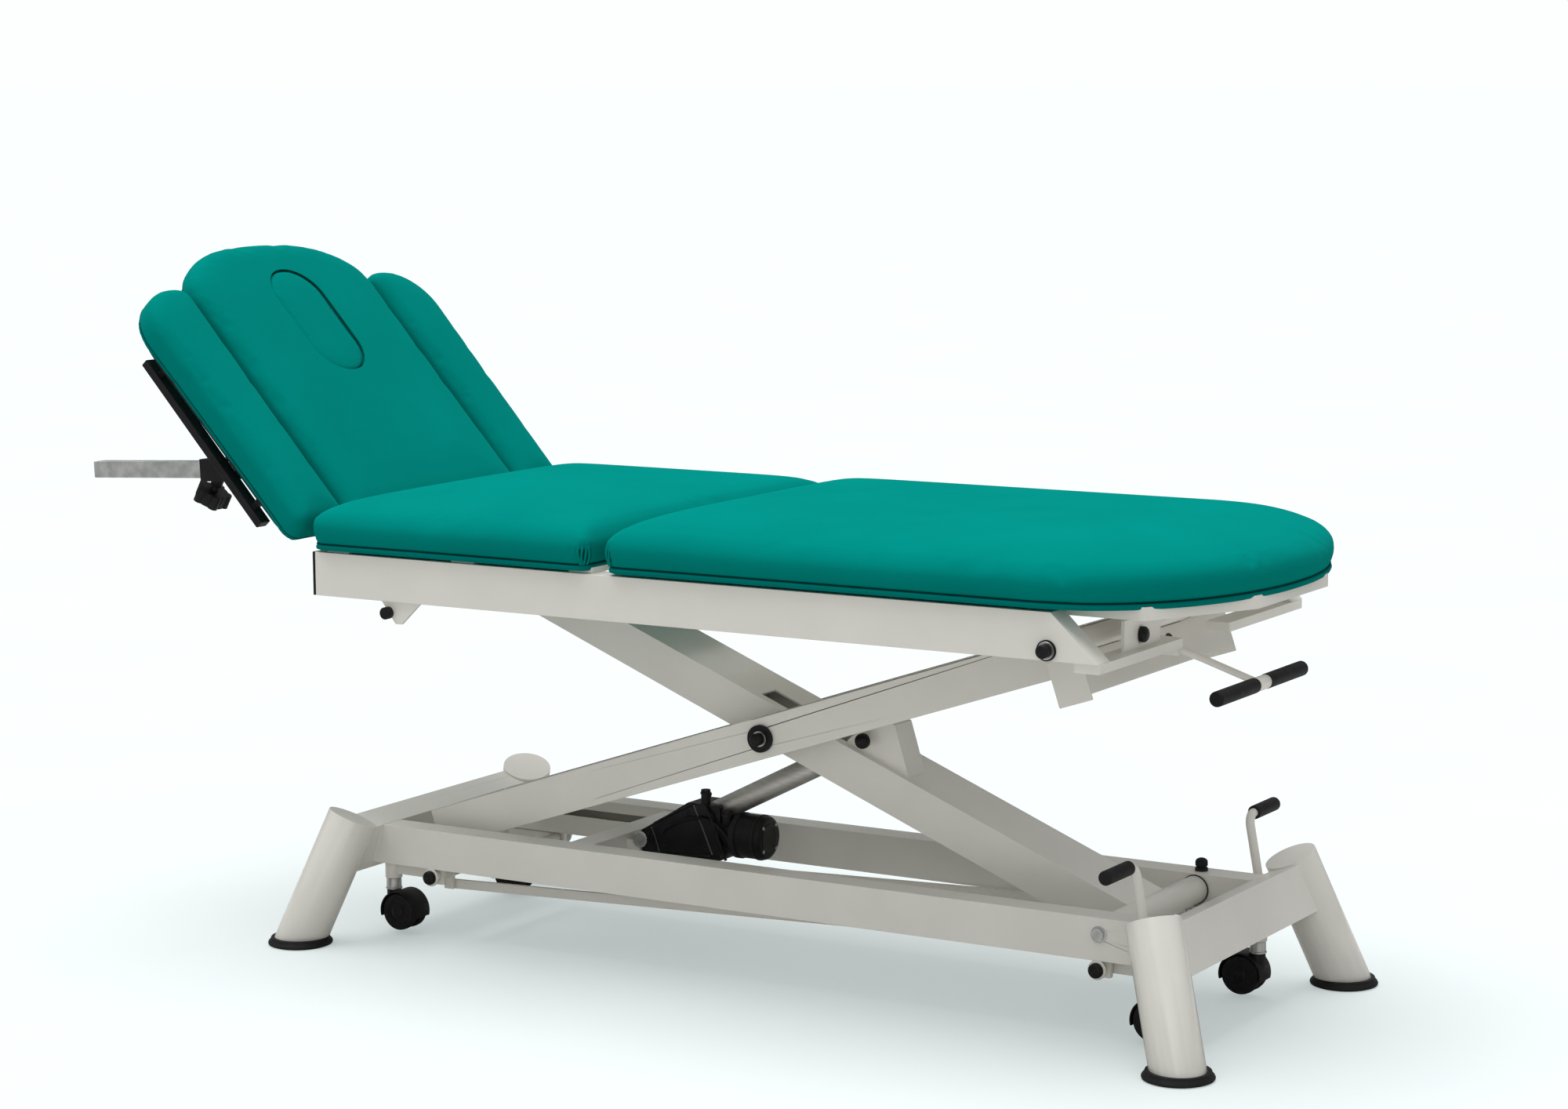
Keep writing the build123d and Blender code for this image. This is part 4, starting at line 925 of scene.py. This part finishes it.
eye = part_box("actuator_rod")[1] - Vector((0.012, 0, 0.012))
lathe(
    "bracket_cap",
    dome(0.0112, 0.012),
    (eye.x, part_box("actuator_bracket")[0].y - 0.0002, eye.z),
    (0, -1, 0),
    black_plastic,
    "inner_arm",
)
for side, hand in ((-1, "right"), (1, "left")):
    out = (0, side, 0)
    ring(
        f"tube_ring_{hand}",
        pins["lift"] + Vector((0, side * 0.1312, 0)),
        out,
        0.0150,
        0.0212,
        0.0022,
        black_plastic,
        "base",
        "black_plastic",
    )
    ring(
        f"centre_ring_{hand}",
        pins["scissor_cross"] + Vector((0, side * 0.1198, 0)),
        out,
        0.0099,
        0.0114,
        0.0012,
        zinc,
        "outer_arms",
        "zinc_steel",
    )
    lathe(
        f"centre_cap_{hand}",
        dome(0.0094, 0.006),
        pins["scissor_cross"] + Vector((0, side * 0.1279, 0)),
        out,
        black_plastic,
        "outer_arms",
    )
    ring(
        f"upper_ring_{hand}",
        pins["frame_level"] + Vector((0, side * 0.3378, 0)),
        out,
        0.0098,
        0.0121,
        0.0012,
        zinc,
        "upper_frame",
        "zinc_steel",
    )
    lathe(
        f"upper_cap_{hand}",
        dome(0.0093, 0.006),
        pins["frame_level"] + Vector((0, side * 0.3468, 0)),
        out,
        black_plastic,
        "upper_frame",
    )
    lathe(
        f"base_bolt_{hand}",
        bolt_head,
        pins["lift"] + Vector((0, side * 0.1761, 0)),
        out,
        zinc,
        "base",
    )
    for end, way in (("head", -1), ("foot", 1)):
        shaft_end = at(way * 560.0, side * 176.0, 108.5)
        ring(
            f"shaft_plate_{end}_{hand}",
            shaft_end,
            out,
            0.0085,
            0.0135,
            0.003,
            white_paint,
            f"castor_{end}",
            "off_white_paint",
        )
        lathe(
            f"shaft_cap_{end}_{hand}",
            dome(0.0105, 0.009),
            shaft_end + Vector((0, side * 0.003, 0)),
            out,
            black_plastic,
            f"castor_{end}",
        )
        fork = f"fork_{end}_{hand}"
        stem = at(way * 655.0, side * 145.0, 75.0)
        lathe(f"stem_{end}_{hand}", stem_profile, stem, (0, 0, 1), zinc, fork)
        wheel_low, wheel_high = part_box(f"castor_wheel_{end}_{hand}")
        axle = (wheel_low + wheel_high) / 2
        half = (wheel_high.y - wheel_low.y) / 2
        for face in (-1, 1):
            hub = Vector((axle.x, axle.y + face * half, axle.z))
            wheel = f"wheel_{end}_{hand}"
            tag = f"{end}_{hand}_{face + 1}"
            ring(
                f"wheel_disc_{tag}",
                hub - Vector((0, face * 0.0004, 0)),
                (0, face, 0),
                0.0168,
                0.0205,
                0.0013,
                black_plastic,
                wheel,
                "black_plastic",
            )
            lathe(
                f"wheel_hub_{tag}",
                dome(0.0098, 0.0032),
                hub,
                (0, face, 0),
                motor_black,
                wheel,
            )
            ring(
                f"wheel_tread_{tag}",
                hub - Vector((0, face * 0.0092, 0)),
                (0, face, 0),
                0.0270,
                0.0284,
                0.0036,
                black_rubber,
                wheel,
                "black_rubber",
            )

# ---- actuator ----
motor_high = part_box("actuator_motor")[1]


def on_housing(x, z, out=0.0):
    """A point on the housing's near side, in the base's millimetres."""
    return at(x, -46.0 - out, z)


def strip(name, points, wide, thick, material, body="actuator"):
    """A raised line along points on the housing's near side."""
    route = [on_housing(x, z, thick * 0.3) for x, z in points]
    return hose(name, route, wide / 2, material, body)


# light grey cords on the black housing's cover seams are painted highlight along the seam edges
seam_highlight_grey = plastic_material("painted_seam_highlight", (0.09, 0.09, 0.095), (0.13, 0.13, 0.14), 0.4)
strip("cover_seam", [(-170, 237), (-164, 224), (-146, 184), (-138, 165)], 0.0022, 1.0, seam_highlight_grey)
strip("rear_seam", [(-246, 196), (-238, 182), (-232, 160)], 0.0014, 1.0, seam_highlight_grey)
strip("lower_rib", [(-230, 157), (-190, 158), (-140, 163)], 0.004, 1.0, motor_black)
strip("upper_rib", [(-240, 202), (-200, 225), (-170, 238)], 0.004, 1.0, motor_black)
for number, (x, z) in enumerate(((-255, 178), (-222, 166), (-180, 222), (-150, 176))):
    lathe(
        f"cover_screw_{number}",
        cover_screw,
        on_housing(x, z),
        (0, -1, 0),
        motor_black,
        "actuator",
        16,
    )
for number in range(4):
    x = -262 + number * 6
    strip(f"grip_rib_{number}", [(x, 166 + number), (x + 1, 182 + 2 * number)], 0.0022, 1.0, motor_black)
pin_face = on_housing(-266.0, 175.0, 0.2)
lathe("rear_pin_disc", pin_disc, pin_face, (0, -1, 0), zinc, "actuator")
# x and z along the housing and the distance out from it, in millimetres
motor_lead = [
    (-226, 188, 0.5),
    (-221, 196, 3),
    (-202, 208, 3.5),
    (-175, 217, 3.5),
    (-154, 220, 4),
    (-130, 214, 7),
    (-112, 202, 8),
    (-104, 188, 6),
]
second_lead = [(-150, 240, 1), (-141, 230, 5), (-128, 205, 8), (-118, 180, 8), (-112, 160, 4)]
for name, lead, radius in (("motor_lead", motor_lead, 0.0024), ("second_lead", second_lead, 0.0022)):
    hose(
        name, [on_housing(x, z, out) for x, z, out in lead], radius, black_rubber, "actuator"
    )
motor_centre = at(0, -20.0, 194.0)
motor_end = Vector((motor_high.x, motor_centre.y, motor_centre.z))
ring(
    "motor_rim",
    motor_end - Vector((0.014, 0, 0)),
    (1, 0, 0),
    0.0325,
    0.0342,
    0.0035,
    motor_black,
    "actuator",
    "black_plastic",
)
ring(
    "motor_band",
    motor_end - Vector((0.052, 0, 0)),
    (1, 0, 0),
    0.0325,
    0.0345,
    0.009,
    black_rubber,
    "actuator",
    "black_rubber",
)
ring(
    "motor_end_ring",
    motor_end - Vector((0.0003, 0, 0)),
    (1, 0, 0),
    0.014,
    0.022,
    0.0014,
    motor_black,
    "actuator",
    "black_plastic",
)
for number in range(4):
    turn = math.radians(45 + 90 * number)
    spot = motor_end + Vector((-0.0004, 0.0245 * math.cos(turn), 0.0245 * math.sin(turn)))
    lathe(f"motor_screw_{number}", motor_screw, spot, (1, 0, 0), zinc, "actuator", 16)
for number, (x, z) in enumerate(((-150.0, 262.2), (-114.0, 234.0))):
    lathe(
        f"gland_{number}",
        dome(0.0086, 0.007),
        at(x, -44.0, z - 8),
        (0.35, 0, 0.94),
        motor_black,
        "actuator",
    )

# ---- fittings under the foot end ----
beam_face = Vector((0.7137, 0, 0.520))
beam_out = Vector((0.95, 0, 0.32)).normalized()
# a thin black disc on the beam paints the shade inside its opening
opening = beam_face + beam_out * 0.0004 + Vector((0, 0.035, 0))
lathe("beam_opening_shade", opening_rim, opening, beam_out, black_plastic, "outer_arms")
stay_face = Vector((0.7713, -0.180, 0.566))
ring("stay_ring", stay_face, (1, 0, 0), 0.0102, 0.0128, 0.0012, zinc, "upper_frame", "zinc_steel")
lathe("stay_cap", dome(0.0108, 0.011), stay_face, (1, 0, 0), black_plastic, "upper_frame")

# ---- screws and weld beads ----
rail_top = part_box("upper_rails")[1].z
for bar, x in enumerate((-605.0, -380.0, -175.0)):
    for row, y in enumerate((-285.0, -90.0, 90.0, 285.0)):
        place = at(x, y, 0)
        place.z = rail_top
        lathe(f"bar_screw_{bar}_{row}", pan_head, place, (0, 0, -1), zinc, "upper_frame", 20)
for row, x in enumerate((40.0, 240.0, 440.0, 600.0)):
    for column, y in enumerate((-240.0, 240.0)):
        place = at(x, y, 610.0)
        lathe(
            f"tray_screw_{row}_{column}", pan_head, place, (0, 0, -1), zinc, "leg_section", 20
        )


def bead(name, start, stop, radius, body):
    """A weld bead: a slightly lumpy painted cord between two points."""
    start, stop = Vector(start), Vector(stop)
    run = stop - start
    count = max(4, int(run.length / 0.004))
    side = run.orthogonal().normalized()
    route = [start + run * (k / count) + side * (0.0004 * math.sin(k * 2.4)) for k in range(count + 1)]
    return hose(name, route, radius, white_paint, body)


for side, hand in ((-1, "right"), (1, "left")):
    for end, way in (("head", -1), ("foot", 1)):
        bead(
            f"rail_bead_{end}_{hand}",
            at(way * 649.5, side * 134.0, 180.0),
            at(way * 649.5, side * 176.0, 180.0),
            0.0022,
            "base",
        )
        bead(
            f"rail_side_bead_{end}_{hand}",
            at(way * 650.0, side * 176.3, 179.0),
            at(way * 669.0, side * 176.3, 122.0),
            0.0022,
            "base",
        )

# ---- floor, light and sky ----
floor_mesh = bpy.data.meshes.new("floor")
wide = 200
floor_mesh.from_pydata(
    [(-wide, -wide, 0), (wide, -wide, 0), (wide, wide, 0), (-wide, wide, 0)], [], [(0, 1, 2, 3)]
)
floor = bpy.data.objects.new("floor", floor_mesh)
scene.collection.objects.link(floor)
floor_material, floor_tree, floor_shader = new_material("pale_floor", 0.6)
floor_shader.inputs["Specular IOR Level"].default_value = 0.1
floor_place = object_place(floor_tree)
floor_color = two_tone(
    floor_tree, noise(floor_tree, floor_place, 2.0), (0.45, 0.475, 0.475), (0.46, 0.485, 0.485)
)
floor_rays = floor_tree.nodes.new("ShaderNodeLightPath")
bounce = floor_tree.nodes.new("ShaderNodeMix")
bounce.data_type = "RGBA"
bounce.inputs["A"].default_value = (0.52, 0.52, 0.505, 1)
floor_tree.links.new(floor_rays.outputs["Is Camera Ray"], bounce.inputs["Factor"])
floor_tree.links.new(floor_color, bounce.inputs["B"])
floor_tree.links.new(bounce.outputs["Result"], floor_shader.inputs["Base Color"])
floor_shader.inputs["Emission Color"].default_value = (0.355, 0.40, 0.40, 1)
floor_tree.links.new(floor_rays.outputs["Is Camera Ray"], floor_shader.inputs["Emission Strength"])
floor_mesh.materials.append(floor_material)

world = bpy.data.worlds.new("studio")
world.use_nodes = True
scene.world = world
sky = world.node_tree
glow = sky.nodes["Background"]
glow.inputs["Color"].default_value = (1.0, 1.0, 1.0, 1)
glow.inputs["Strength"].default_value = 0.72
gaze = sky.nodes.new("ShaderNodeTexCoord")
height = sky.nodes.new("ShaderNodeSeparateXYZ")
sky.links.new(gaze.outputs["Generated"], height.inputs["Vector"])
sky.links.new(
    two_tone(sky, height.outputs["Z"], (0.16, 0.165, 0.17), (1.0, 1.0, 1.0), 0.0, 0.85), glow.inputs["Color"]
)
seen = sky.nodes.new("ShaderNodeBackground")
seen.inputs["Color"].default_value = (0.98, 1.0, 1.0, 1)
seen.inputs["Strength"].default_value = 1.0
rays = sky.nodes.new("ShaderNodeLightPath")
choice = sky.nodes.new("ShaderNodeMixShader")
sky.links.new(rays.outputs["Is Camera Ray"], choice.inputs["Fac"])
sky.links.new(glow.outputs["Background"], choice.inputs[1])
sky.links.new(seen.outputs["Background"], choice.inputs[2])
sky.links.new(choice.outputs["Shader"], sky.nodes["World Output"].inputs["Surface"])


def sun(name, towards, strength, spread_degrees):
    """A broad distant light that shines along towards."""
    data = bpy.data.lights.new(name, "SUN")
    data.energy = strength
    data.angle = math.radians(spread_degrees)
    lamp = bpy.data.objects.new(name, data)
    lamp.rotation_euler = Vector(towards).to_track_quat("-Z", "Y").to_euler()
    scene.collection.objects.link(lamp)


sun("key_light", (0.2, 0.0, -1.0), 2.6, 50)
sun("front_light", (-0.45, 0.85, -0.2), 0.3, 40)
